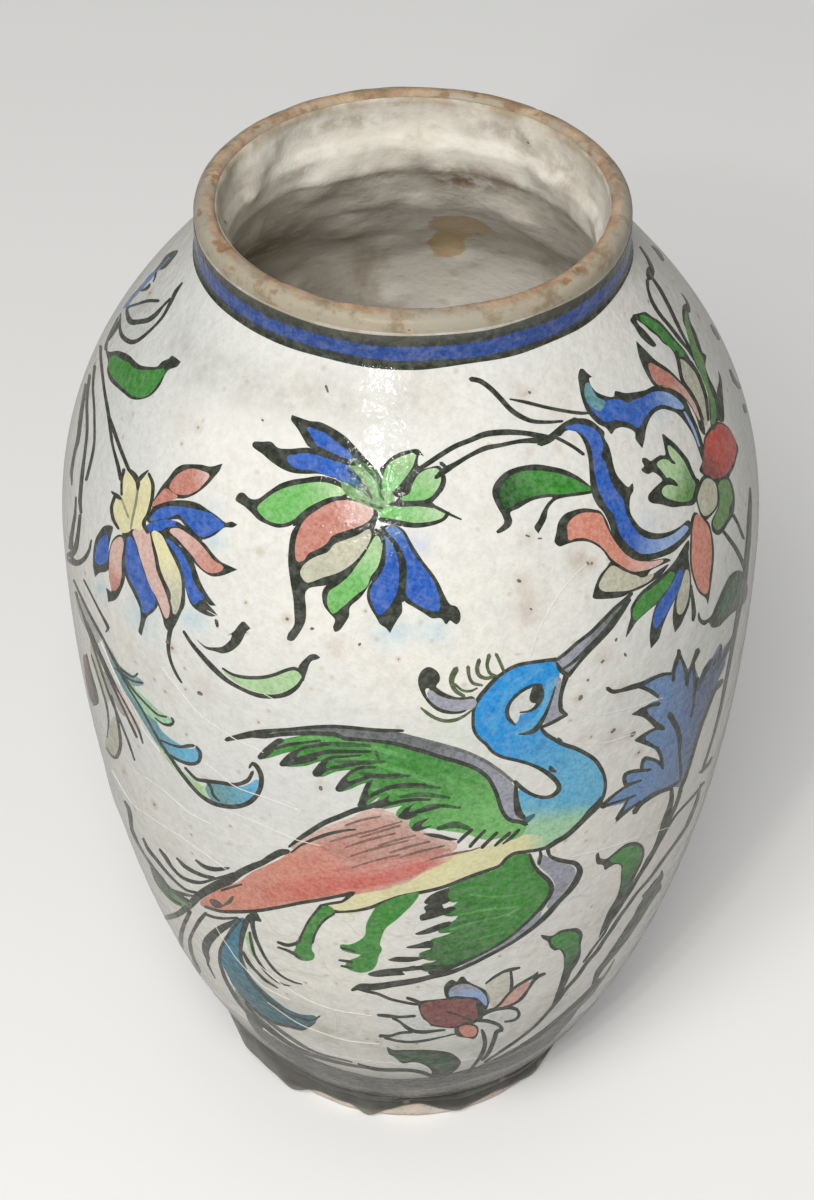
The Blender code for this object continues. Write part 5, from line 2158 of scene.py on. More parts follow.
@dataclass(frozen=True)
class BareClay:
    """Matt fired clay, sandy and a little uneven in colour."""

    name: str = "bare_clay"
    light: str = "D3BEA0"
    dark: str = "B79C7B"

    def make(self) -> bpy.types.Material:
        """Make the material."""
        finish = Finish(self.name, IOR=1.45)
        bench = finish.bench
        place = bench.place()
        patchy = bench.spread(bench.cloud(place, 70.0, 5.0, 0.6), 0.35, 0.68)
        colour = bench.mix(patchy, self.light, self.dark)
        sand = bench.spread(bench.cloud(place, 900.0, 2.0), 0.6, 0.72, 0.0, 0.5)
        colour = bench.mix(sand, colour, "7C664E")
        height = bench.cloud(place, 700.0, 4.0, 0.7)
        rough = bench.spread(bench.cloud(place, 120.0, 2.0), 0.3, 0.7, 0.75, 0.92)
        return finish.finish(colour, rough, height, 0.0004, 0.6)


@dataclass(frozen=True)
class FootGlaze:
    """Thick grey glaze that gathered at the foot, darker where it pooled."""

    def make(self) -> bpy.types.Material:
        """Make the material."""
        finish = Finish("foot_glaze", IOR=1.5)
        bench = finish.bench
        place = bench.place()
        pool = bench.spread(bench.cloud(place, 60.0, 4.0), 0.36, 0.66)
        colour = bench.mix(pool, "64625B", "3F3E39")
        low = bench.rise(place)
        stray = bench.times(bench.cloud(place, 120.0, 4.0, 0.65), 0.006)
        pale = bench.spread(bench.minus(low, stray), -0.0015, 0.0025, 0.75, 0.0)
        colour = bench.mix(pale, colour, "A49C8C")
        colour = GlazeSpecks().over(bench, colour, 260.0, 0.85, 0.14)
        height = bench.cloud(place, 110.0, 3.0)
        rough = bench.spread(bench.cloud(place, 80.0, 3.0), 0.3, 0.7, 0.15, 0.35)
        return finish.finish(colour, rough, height, 0.0005, 0.5)


def off_centre(angle: float, centre: float) -> float:
    """How far an angle lies from a centre, from -180 to 180 degrees."""
    return (angle - centre + 180.0) % 360.0 - 180.0


def hump(away: float) -> float:
    """A smooth rise from 0 at a distance of 1 to 1 in the middle."""
    return 0.5 + 0.5 * math.cos(math.pi * away) if away < 1.0 else 0.0


def ripple(
    place: Vector,
    waves: tuple[tuple[float, float], ...],
    shift: tuple[float, float, float] = (0.0, 0.0, 0.0),
) -> float:
    """A sum of noise waves, each given as waves per metre and depth; a shift gives waves of another set."""
    return sum(noise.noise(place * pitch + Vector(shift)) * depth for pitch, depth in waves)


def turned_mesh(
    profile: list[tuple[float, float]], closed: bool, segments: int = SEGMENTS
) -> bmesh.types.BMesh:
    """Turn a profile about the vase's axis.

    Args:
        profile: list of (radius, height).
        closed: True joins the last point to the first; an open profile has both ends on the axis.
        segments: steps round the axis.

    Returns:
        The closed, outward-facing mesh.
    """
    shape = bmesh.new()
    corners = [shape.verts.new((radius, 0.0, height)) for radius, height in profile]
    edges = [shape.edges.new(pair) for pair in zip(corners, corners[1:])]
    if closed:
        edges.append(shape.edges.new((corners[-1], corners[0])))
    bmesh.ops.spin(
        shape,
        geom=corners + edges,
        cent=(0.0, 0.0, 0.0),
        axis=(0.0, 0.0, 1.0),
        angle=2 * math.pi,
        steps=segments,
        use_merge=True,
    )
    bmesh.ops.remove_doubles(shape, verts=shape.verts, dist=MERGE_DISTANCE)
    bmesh.ops.recalc_face_normals(shape, faces=shape.faces)
    return shape


def show(
    name: str,
    shape: bmesh.types.BMesh,
    material: bpy.types.Material,
    replaced: tuple[str, ...] = (),
) -> bpy.types.Object:
    """Make an object of a finished mesh and give it its place in the model.

    Args:
        name: piece name.
        shape: its mesh.
        material: its finish.
        replaced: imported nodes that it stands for.

    Returns:
        The piece.
    """
    mesh = bpy.data.meshes.new(name)
    shape.to_mesh(mesh)
    shape.free()
    mesh.shade_smooth()
    mesh.materials.append(material)
    piece = bpy.data.objects.new(name, mesh)
    bpy.context.scene.collection.objects.link(piece)
    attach(piece, BODY)
    if replaced:
        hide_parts(*replaced)
    LOG.info("%s: %d faces", name, len(mesh.polygons))
    return piece


@dataclass
class Section(ABC):
    """What the sections of the vase share: the form, its coats and joints, and two sizes of the clay."""

    form: VaseForm
    coats: float = 0.0015
    gap: float = 0.0003
    collar_wall: float = 0.0038
    foot_outer: float = 0.0500

    @abstractmethod
    def make(self) -> None:
        """Make the piece."""

    def bore(self) -> float:
        """Radius of the bore in the neck."""
        return self.form.neck_radius - self.coats - self.collar_wall


@dataclass
class OuterSkin(Section):
    """The clear glaze over the white ground, from the foot to the lip, with colour bleeding, staining,
    painted shade and sheen in it.
    """

    view: PhotoView = field(default_factory=PhotoView)
    thickness: float = 0.0005
    inner_rows: int = 120
    pixel_size: float = 0.000333
    bleed_most: float = 0.8
    no_bleed: float = 0.7

    def make(self) -> None:
        """Make the piece."""
        form = self.form
        rows = np.linspace(0, len(form.line) - 1, form.stations + 1).round().astype(int)
        outer = [(r, z) for _, r, z in form.line[rows]]
        top = form.height - form.lip_height - self.gap
        outer[-1] = (outer[-1][0], top)
        inner = form.inner_line(self.thickness, form.foot_height, top, self.inner_rows)
        shape = turned_mesh(outer + inner[::-1], True)
        # hazes in the glaze: colour bleeding and staining, with painted shade and a painted sheen
        layer = shape.verts.layers.float_color.new("bleed")
        places = np.array([corner.co for corner in shape.verts])
        angle = np.arctan2(places[:, 1], places[:, 0])
        push = form.unevenness(angle, places[:, 2])
        radius = np.hypot(places[:, 0], places[:, 1])
        moved = places.copy()
        moved[:, :2] *= ((radius + push) / radius)[:, None]
        for corner, place, colour in zip(shape.verts, moved, self.bleeds(moved)):
            corner.co = place
            corner[layer] = colour
        show("outer_skin", shape, ClearGlaze().make(), ("outer_glaze",))

    def bleeds(self, places: np.ndarray) -> np.ndarray:
        """Colour and strength of the hazes at places on the skin: colour bleeding, staining, painted shade
        and painted sheen.

        Args:
            places: rows of x, y, z.

        Returns:
            Rows of linear red, green, blue and strength.
        """
        pixels = np.array([(haze.x, haze.y) for haze in HAZES], float)
        angle, arc = self.view.on_vase(pixels, self.form)
        total = np.zeros(len(places))
        colour = np.zeros((len(places), 3))
        for turn in (0.0, math.pi):
            spots = self.form.points(angle + turn, arc)
            for haze, spot in zip(HAZES, spots):
                apart = np.linalg.norm(places - spot, axis=1) / (haze.spread * self.pixel_size)
                weight = haze.strength * np.exp(-(apart**2))
                colour += weight[:, None] * np.array(haze.pigment.linear())
                total += weight
        known = total[:, None] > TINY
        colour = np.where(known, colour / np.maximum(total, TINY)[:, None], self.no_bleed)
        return np.column_stack([colour, np.clip(total, 0.0, self.bleed_most)])


@dataclass
class InnerLining(Section):
    """The thin stained glaze of the inside, in one piece with its floor."""

    wall: float = 0.0065
    thickness: float = 0.0004
    room: float = 0.0003
    facet_room: float = 0.0013
    drop: float = 0.0019
    segments: int = 192
    wall_rows: int = 110
    neck_rows: int = 14
    neck_start: float = 0.001
    throat_radius: float = 0.045
    throat_depth: float = 0.085
    throat_blend: float = 0.003
    floor_top: float = 0.0185
    floor_radii: tuple[float, ...] = (0.0, 0.02, 0.035)
    floor_fillet: float = 0.010
    floor_edge: float = 0.004
    fillet_steps: int = 6
    bead_depth: float = 0.0012
    bead_reach: float = 0.009
    lumps: tuple[tuple[float, float], ...] = ((40.0, 0.0015), (75.0, 0.0011), (160.0, 0.0005))
    lumps_from: float = 0.03
    lumps_fade: float = 0.006
    stains: tuple[tuple[float, float, float, float, float], ...] = (
        (75.0, 0.2860, 11.0, 0.0060, 0.95),
        (58.0, 0.2890, 10.0, 0.0040, 0.55),
        (100.0, 0.2880, 15.0, 0.0035, 0.50),
        (35.0, 0.2820, 12.0, 0.0050, 0.50),
        # the two patches on the left wall are partly painted shadow, where the rim shades the inside, over
        # brown staining
        (130.0, 0.2580, 16.0, 0.0120, 0.80),
        (150.0, 0.2620, 14.0, 0.0150, 0.80),
        (285.0, 0.2980, 25.0, 0.0040, 0.70),
        (205.0, 0.2970, 18.0, 0.0040, 0.60),
        (38.0, 0.3010, 15.0, 0.0060, 0.45),
        (62.0, 0.3070, 14.0, 0.0035, 0.45),
        (112.0, 0.3070, 20.0, 0.0030, 0.45),
    )
    drips: tuple[tuple[float, float, float, float, float], ...] = (
        (78.0, 0.2580, 8.2, 0.0078, 1.2),
        (83.0, 0.2430, 4.2, 0.0075, 1.1),
    )

    def make(self) -> None:
        """Make the piece."""
        form = self.form
        depth = self.coats + self.wall + self.gap + self.thickness + self.facet_room
        bore = self.bore() - self.gap - self.thickness - self.room
        wall = form.inner_line(depth, self.floor_top + self.floor_fillet, form.neck_root, self.wall_rows)
        inside = [(r, z) for r, z in wall if r > bore or z < form.belly_height]
        floor = self.floor_top + self.gap + self.thickness
        top = form.height - self.drop
        flat = [(radius, floor) for radius in self.floor_radii]
        neck = [(bore, z) for z in np.linspace(inside[-1][1] + self.neck_start, top, self.neck_rows)]
        line = [*flat, *self.fillet(floor, *inside[0]), *inside, *neck]
        line = [(self.bead(r, z), z) for r, z in line]
        behind = []
        for radius, height in line:
            drop = self.thickness if height < floor + self.floor_edge else 0.0
            behind.append((radius + (self.thickness if radius else 0.0), height - drop))
        line = [(self.throat(r, z, bore), z) for r, z in line]
        shape = turned_mesh(behind + line[::-1], False, self.segments)
        stain = shape.verts.layers.float_color.new("stain")
        for corner in shape.verts:
            place = corner.co.copy()
            span = place.xy.length
            if span > self.lumps_from:
                lump = ripple(place, self.lumps)
                fade = min(1.0, max(0.0, (top - place.z) / self.lumps_fade))
                corner.co.xy *= 1.0 - fade * (abs(lump) + lump) / span
            corner[stain] = (self.stain_at(place, self.stains), self.stain_at(place, self.drips), 0.0, 1.0)
        show("inner_lining", shape, StainedLining().make(), ("inner_glaze",))

    def fillet(self, floor: float, radius: float, height: float) -> list[tuple[float, float]]:
        """The rounded corner between the floor and the wall.

        Args:
            floor: height of the floor.
            radius: radius at which the wall begins.
            height: height at which the wall begins.

        Returns:
            Upward list of (radius, height).
        """
        line = []
        for step in range(self.fillet_steps):
            turn = math.pi / 2 * step / self.fillet_steps
            inwards = self.floor_fillet * (1 - math.sin(turn))
            line.append((radius - inwards, floor + (height - floor) * (1 - math.cos(turn))))
        return line

    def throat(self, radius: float, height: float, bore: float) -> float:
        """Radius of the lining below the neck, where the wall thickens smoothly into the neck."""
        down = self.form.neck_root - height
        if 0.0 < down < self.throat_depth:
            thick = bore + down * down / (2 * self.throat_radius)
            soft = self.throat_blend
            return -soft * math.log(math.exp(-radius / soft) + math.exp(-thick / soft))
        return radius

    def stain_at(self, place: Vector, spots: tuple[tuple[float, float, float, float, float], ...]) -> float:
        """Strength of a set of marks, such as brown staining, painted shadow and drips, at a point of the
        lining.
        """
        angle = math.degrees(math.atan2(place.y, place.x))
        total = 0.0
        for centre, height, half_width, half_height, strength in spots:
            round_off = off_centre(angle, centre) / half_width
            total += strength * math.exp(-(round_off**2) - ((place.z - height) / half_height) ** 2)
        return min(total, 1.0)

    def bead(self, radius: float, height: float) -> float:
        """Radius of the lining at a height, less where it passes over a bead of slip."""
        for seam in (self.form.seam_height, self.form.neck_root):
            if radius > 0.0:
                radius -= self.bead_depth * hump(abs(height - seam) / self.bead_reach)
        return radius


@dataclass
class Lip(Section):
    """The neck collar with its worn, rounded lip."""

    overhang: float = 0.0007
    crest: float = 0.0578
    trim: float = 0.0004
    back: float = 0.0022
    sink: float = 0.0003
    front_rows: int = 12
    back_rows: int = 9
    wall_rows: int = 4
    height_slack: float = 0.0001
    radius_slack: float = 0.0005
    dents: tuple[tuple[float, float], ...] = ((70.0, 0.00050), (240.0, 0.00022))
    dent_out: float = 0.6
    sway: tuple[tuple[float, float], ...] = ((45.0, 0.0006),)
    sway_shift: tuple[float, float, float] = (3.1, 0.0, 0.0)
    chips: tuple[tuple[float, float], ...] = ((120.0, 0.5), (290.0, 0.5))
    chip_shift: tuple[float, float, float] = (0.0, 7.3, 0.0)
    chip_rare: float = 0.20
    chip_depth: float = 0.0036
    chip_full: float = 0.0008
    chip_in: float = 0.4
    collar_foot: float = 0.0007
    collar_stand: float = 0.00008
    collar_drops: tuple[float, ...] = (0.0014, 0.00135, 0.0012, 0.0006, 0.0)

    def make(self) -> None:
        """Make the piece."""
        form = self.form
        bottom = form.neck_root + self.collar_foot
        base = form.height - form.lip_height
        bore = self.bore()
        outer = form.neck_radius
        inner = bore - self.overhang
        crest = self.crest
        rise = form.lip_height - self.trim
        arc = []
        for turn in np.linspace(0.0, math.pi / 2, self.front_rows):
            height = form.height - rise + rise * math.sin(turn)
            arc.append((crest + (outer - crest) * math.cos(turn), height))
        for turn in np.linspace(0.0, math.pi / 2, self.back_rows)[1:]:
            height = form.height - self.back * (1 - math.cos(turn))
            arc.append((crest - (crest - inner) * math.sin(turn), height))
        clay = outer - self.coats
        hidden = [(bore, bottom), (clay, bottom), (clay, base - self.collar_drops[0])]
        collar = [(outer + self.collar_stand, base - drop) for drop in self.collar_drops]
        back = [(inner, z) for z in np.linspace(form.height - self.back, base, self.wall_rows)[1:]]
        shape = turned_mesh([*hidden, *collar, *arc, *back, (bore, base)], True)
        wear = shape.verts.layers.float_color.new("wear")
        for corner in shape.verts:
            chipped = 0.0
            if corner.co.z > base - self.height_slack and corner.co.xy.length > inner - self.radius_slack:
                chipped = self.wear_down(corner, min(1.0, max(0.0, (corner.co.z - base) / rise)))
            corner[wear] = (chipped, 0.0, 0.0, 1.0)
        show("worn_lip", shape, WornLip(self.crest).make(), ("neck_collar",))

    def wear_down(self, corner: bmesh.types.BMVert, share: float) -> float:
        """Dent and chip a corner of the lip.

        Args:
            corner: the corner, which is moved.
            share: how far up the lip it lies, from 0 to 1.

        Returns:
            How much it is chipped, from 0 to 1.
        """
        place = corner.co.copy()
        dent = ripple(place, self.dents)
        chip = max(0.0, ripple(place, self.chips, self.chip_shift) - self.chip_rare)
        chip = chip * self.chip_depth * share * share
        corner.co.z -= share * (self.sink + abs(dent) + chip)
        out = ripple(place, self.sway, self.sway_shift) + dent * self.dent_out
        corner.co.xy *= 1.0 + share * (out - chip * self.chip_in) / place.xy.length
        return min(1.0, chip / self.chip_full)


@dataclass
class Foot(Section):
    """The bare ring that the vase stands on, with worn edges."""

    inner: float = 0.0400
    top: float = 0.0081
    edge: float = 0.0012
    inner_edge: tuple[tuple[float, float], ...] = ((0.0, 1.0), (0.3, 0.3), (1.0, 0.0))
    outer_edge: tuple[tuple[float, float], ...] = ((1.6, 0.0), (0.5, 0.35), (0.0, 1.3))
    outer_rows: tuple[float, ...] = (0.003, 0.005)
    dents: tuple[tuple[float, float], ...] = ((150.0, 0.0005),)
    dents_below: float = 0.001
    dents_within: float = 0.002

    def make(self) -> None:
        """Make the piece."""
        outer = self.foot_outer
        edge = self.edge
        profile = [
            (self.inner, self.top),
            *((self.inner + across * edge, rise * edge) for across, rise in self.inner_edge),
            *((outer - across * edge, rise * edge) for across, rise in self.outer_edge),
            *((outer, height) for height in self.outer_rows),
            (outer, self.top),
        ]
        shape = turned_mesh(profile, True)
        for corner in shape.verts:
            span = corner.co.xy.length
            if 0.0 < corner.co.z < self.top - self.dents_below and span > outer - self.dents_within:
                corner.co.xy *= 1.0 - abs(ripple(corner.co, self.dents)) / span
        material = BareClay("foot_clay", "F0E4D8", "DACBBC").make()
        show("worn_foot", shape, material, ("foot_ring",))


@dataclass
class GlazeRoll(Section):
    """The thick roll of glaze round the top of the foot, with runs down it and one swollen side."""

    bare_foot: float = 0.0035
    depth: float = 0.0020
    cover: float = 0.0030
    rows: int = 15
    first_row: float = 0.03
    first_turn: float = 0.16
    fullness: float = 0.8
    tuck: float = 0.0001
    slack: float = 0.00001
    waves: tuple[tuple[float, float], ...] = ((70.0, 0.0007), (190.0, 0.0004))
    lumps: tuple[tuple[float, float], ...] = ((110.0, 0.0006), (260.0, 0.0004))
    run_up: float = 0.0042
    run_clear: float = 0.0007
    swell_angle: float = 205.0
    swell_half_width: float = 40.0
    swell_rise: float = 0.017
    swell_radii: tuple[float, float] = (0.0560, 0.0645)
    runs: tuple[tuple[float, float, float], ...] = (
        (256.0, 7.0, 0.0030),
        (273.0, 13.0, -0.0036),
        (289.0, 6.0, 0.0016),
        (302.0, 10.0, -0.0014),
        (238.0, 9.0, -0.0012),
        (226.0, 8.0, 0.0022),
        (212.0, 8.0, -0.0010),
        (196.0, 12.0, 0.0028),
        (112.0, 12.0, 0.0024),
        (76.0, 14.0, -0.0014),
        (42.0, 10.0, 0.0022),
        (322.0, 9.0, 0.0018),
    )

    def make(self) -> None:
        """Make the piece."""
        form = self.form
        back = self.foot_outer + self.gap
        top = form.foot_height + self.cover
        height = top - self.bare_foot
        profile = [(back, form.foot_height - self.gap), (back, self.bare_foot)]
        for share in np.linspace(0.0, 1.0, self.rows):
            rise = self.bare_foot + height * (self.first_row + (1.0 - self.first_row) * share)
            wall = back
            if rise > form.foot_height:
                wall = max(back, float(form.radius_at(np.array(rise))))
            turn = math.pi * (self.first_turn + (1.0 - self.first_turn) * share)
            profile.append((wall + self.depth * math.sin(turn) ** self.fullness, rise))
        profile[-1] = (float(form.radius_at(np.array(top))) - self.tuck, top)
        shape = turned_mesh(profile, True)
        low, high = self.swell_radii
        for corner in shape.verts:
            share = (top - corner.co.z) / height
            span = corner.co.xy.length
            angle = math.degrees(math.atan2(corner.co.y, corner.co.x))
            flat = Vector((corner.co.x, corner.co.y, 0.0))
            drop = max(self.run_drop(angle) + ripple(flat, self.waves), -self.run_up)
            corner.co.z -= share * min(drop, self.bare_foot - self.run_clear)
            if span > back + self.slack:
                swell = hump(abs(off_centre(angle, self.swell_angle)) / self.swell_half_width)
                wanted = low + (high - low) * (1.0 - share)
                lump = ripple(flat, self.lumps) * math.sin(math.pi * share)
                corner.co.xy *= 1.0 + (swell * (wanted - span) + lump) / span
                corner.co.z += swell * self.swell_rise * (1.0 - share)
        show("glaze_roll_runs", shape, FootGlaze().make(), ("glaze_roll",))

    def run_drop(self, angle: float) -> float:
        """How far the glaze has run down, or drawn back up, the foot at an angle in degrees."""
        drop = 0.0
        for centre, half_width, depth in self.runs:
            drop += depth * hump(abs(off_centre(angle, centre)) / half_width)
        return drop


@dataclass
class Vessel:
    """The vase itself: the sections that are seen, and the packed clay and slip inside them."""

    form: VaseForm
    view: PhotoView

    def build(self, nodes: dict[str, bpy.types.Object]) -> None:
        """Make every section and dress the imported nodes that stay."""
        sections = (
            OuterSkin(self.form, view=self.view),
            InnerLining(self.form),
            Lip(self.form),
            Foot(self.form),
            GlazeRoll(self.form),
        )
        for section in sections:
            section.make()
        clay = BareClay().make()
        slip = BareClay("joint_slip", "D8C6AC", "C4AE90").make()
        white = BareClay("white_slip", "E2DED4", "D5D0C4").make()
        dressed = {
            "lower_bowl": clay,
            "upper_bowl": clay,
            "foot_seam_slip": slip,
            "belly_seam_slip": slip,
            "neck_seam_slip": slip,
            "white_ground": white,
        }
        for name, material in dressed.items():
            nodes[name].data.materials.clear()
            nodes[name].data.materials.append(material)
            LOG.info("%s: packed node dressed", name)


@dataclass
class Painter:
    """Lays the painting on the vase: each motif becomes a film of ink and a film of colour."""

    form: VaseForm
    view: PhotoView
    ink_material: bpy.types.Material
    colour_material: bpy.types.Material
    step: float = 2.6
    lattice: float = 2.0
    lift: float = 0.00009
    sink: float = 0.00012
    scale: float = 1000.0
    cap: float = 0.45
    weld: float = 0.004
    bare: tuple[float, float, float, float] = (0.72, 0.70, 0.66, 1.0)

    def paint(self, motif: Motif) -> None:
        """Make a motif's two films, with all its copies."""
        outlines = [self.outline(mark, motif) for mark in motif.marks]
        counts = [len(outline) for outline in outlines]
        angle, arc = self.view.on_vase(np.vstack(outlines), self.form)
        middle = float(np.mean(arc))
        girth = float(np.interp(middle, self.form.line[:, 0], self.form.line[:, 1]))
        flat = np.column_stack([angle * girth, arc]) * self.scale
        shapes = np.split(flat, np.cumsum(counts)[:-1])
        corners, faces = self.triangles(shapes)
        cover, colours = self.colour(motif, shapes, corners, faces, girth)
        places = np.column_stack([corners[:, 0] / self.scale / girth, corners[:, 1] / self.scale])
        for kind, material in ((Cover.COLOUR, self.colour_material), (Cover.INK, self.ink_material)):
            chosen = cover == kind
            if chosen.any():
                name = f"{motif.name}_{kind.name.lower()}"
                self.film(name, places, faces[chosen], colours[chosen], motif.turns, material)

    def outline(self, mark: Mark, motif: Motif) -> np.ndarray:
        """The closed outline of a mark.

        Args:
            mark: the mark.
            motif: its motif, for the weight of line and the spread of wash.

        Returns:
            Rows of x, y in picture pixels.
        """
        points, widths, sharp = self.read(mark.path)
        if mark.touch is Touch.SHAPE:
            shape = self.smooth(points, sharp, True)[:, :2]
            return shape if mark.pigment is Pigment.INK else self.spread(shape, mark.grow + motif.spread)
        line = self.smooth(np.column_stack([points, widths]), sharp, False)
        along = unit(np.gradient(line[:, :2], axis=0))
        across = np.column_stack([-along[:, 1], along[:, 0]]) * line[:, 2:3] * motif.weight / 2
        start = line[:1, :2] - along[:1] * line[0, 2] * self.cap
        end = line[-1:, :2] + along[-1:] * line[-1, 2] * self.cap
        return np.vstack([start, line[:, :2] + across, end, (line[:, :2] - across)[::-1]])

    def spread(self, shape: np.ndarray, grow: float) -> np.ndarray:
        """Move a closed outline outwards by some pixels."""
        after = np.roll(shape, -1, axis=0)
        along = unit(after - np.roll(shape, 1, axis=0))
        turn = np.sign(np.sum(shape[:, 0] * after[:, 1] - after[:, 0] * shape[:, 1]))
        return shape + grow * turn * np.column_stack([along[:, 1], -along[:, 0]])

    def read(self, path: str) -> tuple[np.ndarray, np.ndarray, list[bool]]:
        """Split a path's text into points, widths and sharp corners."""
        words = path.split()
        sharp = [word.endswith("*") for word in words]
        rows = [[float(part) for part in word.rstrip("*").split(",")] for word in words]
        points = np.array([row[:2] for row in rows])
        widths = np.array([row[2] if len(row) > 2 else 0.0 for row in rows])
        return points, widths, sharp

    def smooth(self, points: np.ndarray, sharp: list[bool], closed: bool) -> np.ndarray:
        """A smooth curve through points.

        Args:
            points: rows of x, y and maybe width.
            sharp: which points keep a corner.
            closed: whether the curve returns to its start.

        Returns:
            Rows along the curve, closely spaced.
        """
        count = len(points)
        before = np.roll(points, 1, axis=0)
        after = np.roll(points, -1, axis=0)
        slopes = (after - before) / 2
        if not closed:
            slopes[0] = points[1] - points[0]
            slopes[-1] = points[-1] - points[-2]
        rows = []
        for index in range(count if closed else count - 1):
            other = (index + 1) % count
            chord = points[other] - points[index]
            length = float(np.linalg.norm(chord[:2]))
            reach = min(1.0, length / max(float(np.linalg.norm(slopes[index][:2])), TINY))
            other_reach = min(1.0, length / max(float(np.linalg.norm(slopes[other][:2])), TINY))
            leave = chord if sharp[index] else slopes[index] * reach
            arrive = chord if sharp[other] else slopes[other] * other_reach
            parts = max(1, math.ceil(length / self.step))
            t = np.arange(parts)[:, None] / parts
            rows.append(
                (2 * t**3 - 3 * t**2 + 1) * points[index]
                + (t**3 - 2 * t**2 + t) * leave
                + (-2 * t**3 + 3 * t**2) * points[other]
                + (t**3 - t**2) * arrive
            )
        if not closed:
            rows.append(points[-1:])
        return np.vstack(rows)

    def triangles(self, shapes: list[np.ndarray]) -> tuple[np.ndarray, np.ndarray]:
        """Cut the flat sheet along every outline.

        Args:
            shapes: closed outlines on the flat sheet, in millimetres.

        Returns:
            Corner places and triangles.
        """
        points = []
        edges = []
        for shape in shapes:
            start = len(points)
            count = len(shape)
            points.extend(shape)
            edges.extend((start + index, start + (index + 1) % count) for index in range(count))
        low = np.min(points, axis=0)
        high = np.max(points, axis=0)
        across = np.arange(low[0], high[0], self.lattice)
        along = np.arange(low[1], high[1], self.lattice)
        for row, y in enumerate(along):
            points.extend(np.column_stack([across + (row % 2) * self.lattice / 2, np.full(len(across), y)]))
        result = delaunay_2d_cdt([Vector(point) for point in points], edges, [], 0, self.weld)
        corners = np.array([tuple(corner) for corner in result[0]])
        return corners, np.array([face for face in result[2] if len(face) == 3])

    def colour(
        self,
        motif: Motif,
        shapes: list[np.ndarray],
        corners: np.ndarray,
        faces: np.ndarray,
        girth: float,
    ) -> tuple[np.ndarray, np.ndarray]:
        """Work out what covers each triangle.

        Args:
            motif: the motif.
            shapes: its marks' outlines on the flat sheet.
            corners: corner places.
            faces: triangles.
            girth: radius at which the sheet was flattened.

        Returns:
            Each triangle's Cover, and each corner's linear colour with its density.
        """
        centres = corners[faces].mean(axis=1)
        cover = np.full(len(faces), Cover.BARE, int)
        colours = np.zeros((len(faces), 3, 4))
        for mark, shape in zip(motif.marks, shapes):
            inside = self.within(centres, shape)
            if not inside.any():
                continue
            own = np.array([*mark.pigment.linear(), 1.0])
            paint = np.broadcast_to(own, (int(inside.sum()), 3, 4)).copy()
            if mark.fade:
                start, end = self.read(mark.reach)[0]
                angle, arc = self.view.on_vase(np.array([start, end]), self.form)
                ends = np.column_stack([angle * girth, arc]) * self.scale
                way = ends[1] - ends[0]
                share = (corners[faces[inside]] - ends[0]) @ way / (way @ way)
                share = np.clip(share, 0.0, 1.0)
                share = (share * share * (3 - 2 * share))[..., None]
                paint[..., :3] = paint[..., :3] * (1 - share) + np.array(mark.fade.linear()) * share
            bare = (cover[inside] == Cover.BARE)[:, None, None]
            under = np.where(bare, np.array(self.bare), colours[inside])
            colours[inside] = under * (1 - mark.density) + paint * mark.density
            cover[inside] = Cover.INK if mark.pigment is Pigment.INK else Cover.COLOUR
        return cover, colours

    def within(self, places: np.ndarray, shape: np.ndarray) -> np.ndarray:
        """Whether places lie within a closed outline, by its winding."""
        result = np.zeros(len(places), bool)
        near = np.all((places >= shape.min(axis=0)) & (places <= shape.max(axis=0)), axis=1)
        spots = places[near]
        turns = np.zeros(len(spots), int)
        for first, second in zip(shape, np.roll(shape, -1, axis=0)):
            side = (second[0] - first[0]) * (spots[:, 1] - first[1])
            side = side - (spots[:, 0] - first[0]) * (second[1] - first[1])
            turns += (first[1] <= spots[:, 1]) & (second[1] > spots[:, 1]) & (side > 0)
            turns -= (first[1] > spots[:, 1]) & (second[1] <= spots[:, 1]) & (side < 0)
        result[near] = turns != 0
        return result

    def sheet(self) -> bmesh.types.BMesh:
        """An empty film with the layers that it needs."""
        shape = bmesh.new()
        shape.loops.layers.float_color.new("pigment")
        shape.verts.layers.float.new("angle")
        shape.verts.layers.float.new("arc")
        shape.faces.layers.int.new("top")
        return shape

    def lay(
        self, shape: bmesh.types.BMesh, angle: np.ndarray, arc: np.ndarray, lift: float
    ) -> list[bmesh.types.BMVert]:
        """Add corners above the glaze that know where they lie on it.

        Args:
            shape: the film.
            angle: angles about the axis.
            arc: distances along the outline from the foot.
            lift: height above the glaze.

        Returns:
            The new corners.
        """
        angle_layer = shape.verts.layers.float["angle"]
        arc_layer = shape.verts.layers.float["arc"]
        corners = []
        for place, spin, along in zip(self.form.points(angle, arc, lift), angle, arc):
            corner = shape.verts.new(place)
            corner[angle_layer] = spin
            corner[arc_layer] = along
            corners.append(corner)
        return corners

    def film(
        self,
        name: str,
        places: np.ndarray,
        faces: np.ndarray,
        colours: np.ndarray,
        turns: tuple[float, ...],
        material: bpy.types.Material,
    ) -> None:
        """Make one closed film that hugs the glaze.

        Args:
            name: piece name.
            places: the corners' angles and arc lengths.
            faces: triangles.
            colours: each triangle corner's colour and density.
            turns: the copies' angles in degrees.
            material: the film's finish.
        """
        used, local = np.unique(faces, return_inverse=True)
        local = local.reshape(-1, 3)
        angle, arc = places[used].T
        shape = self.sheet()
        pigment = shape.loops.layers.float_color["pigment"]
        for turn in turns:
            fresh = self.lay(shape, angle + math.radians(turn), arc, self.lift)
            for trio, paint in zip(local, colours):
                face = shape.faces.new([fresh[index] for index in trio])
                for loop, shade in zip(face.loops, paint):
                    loop[pigment] = shade
        self.close(name, shape, material)

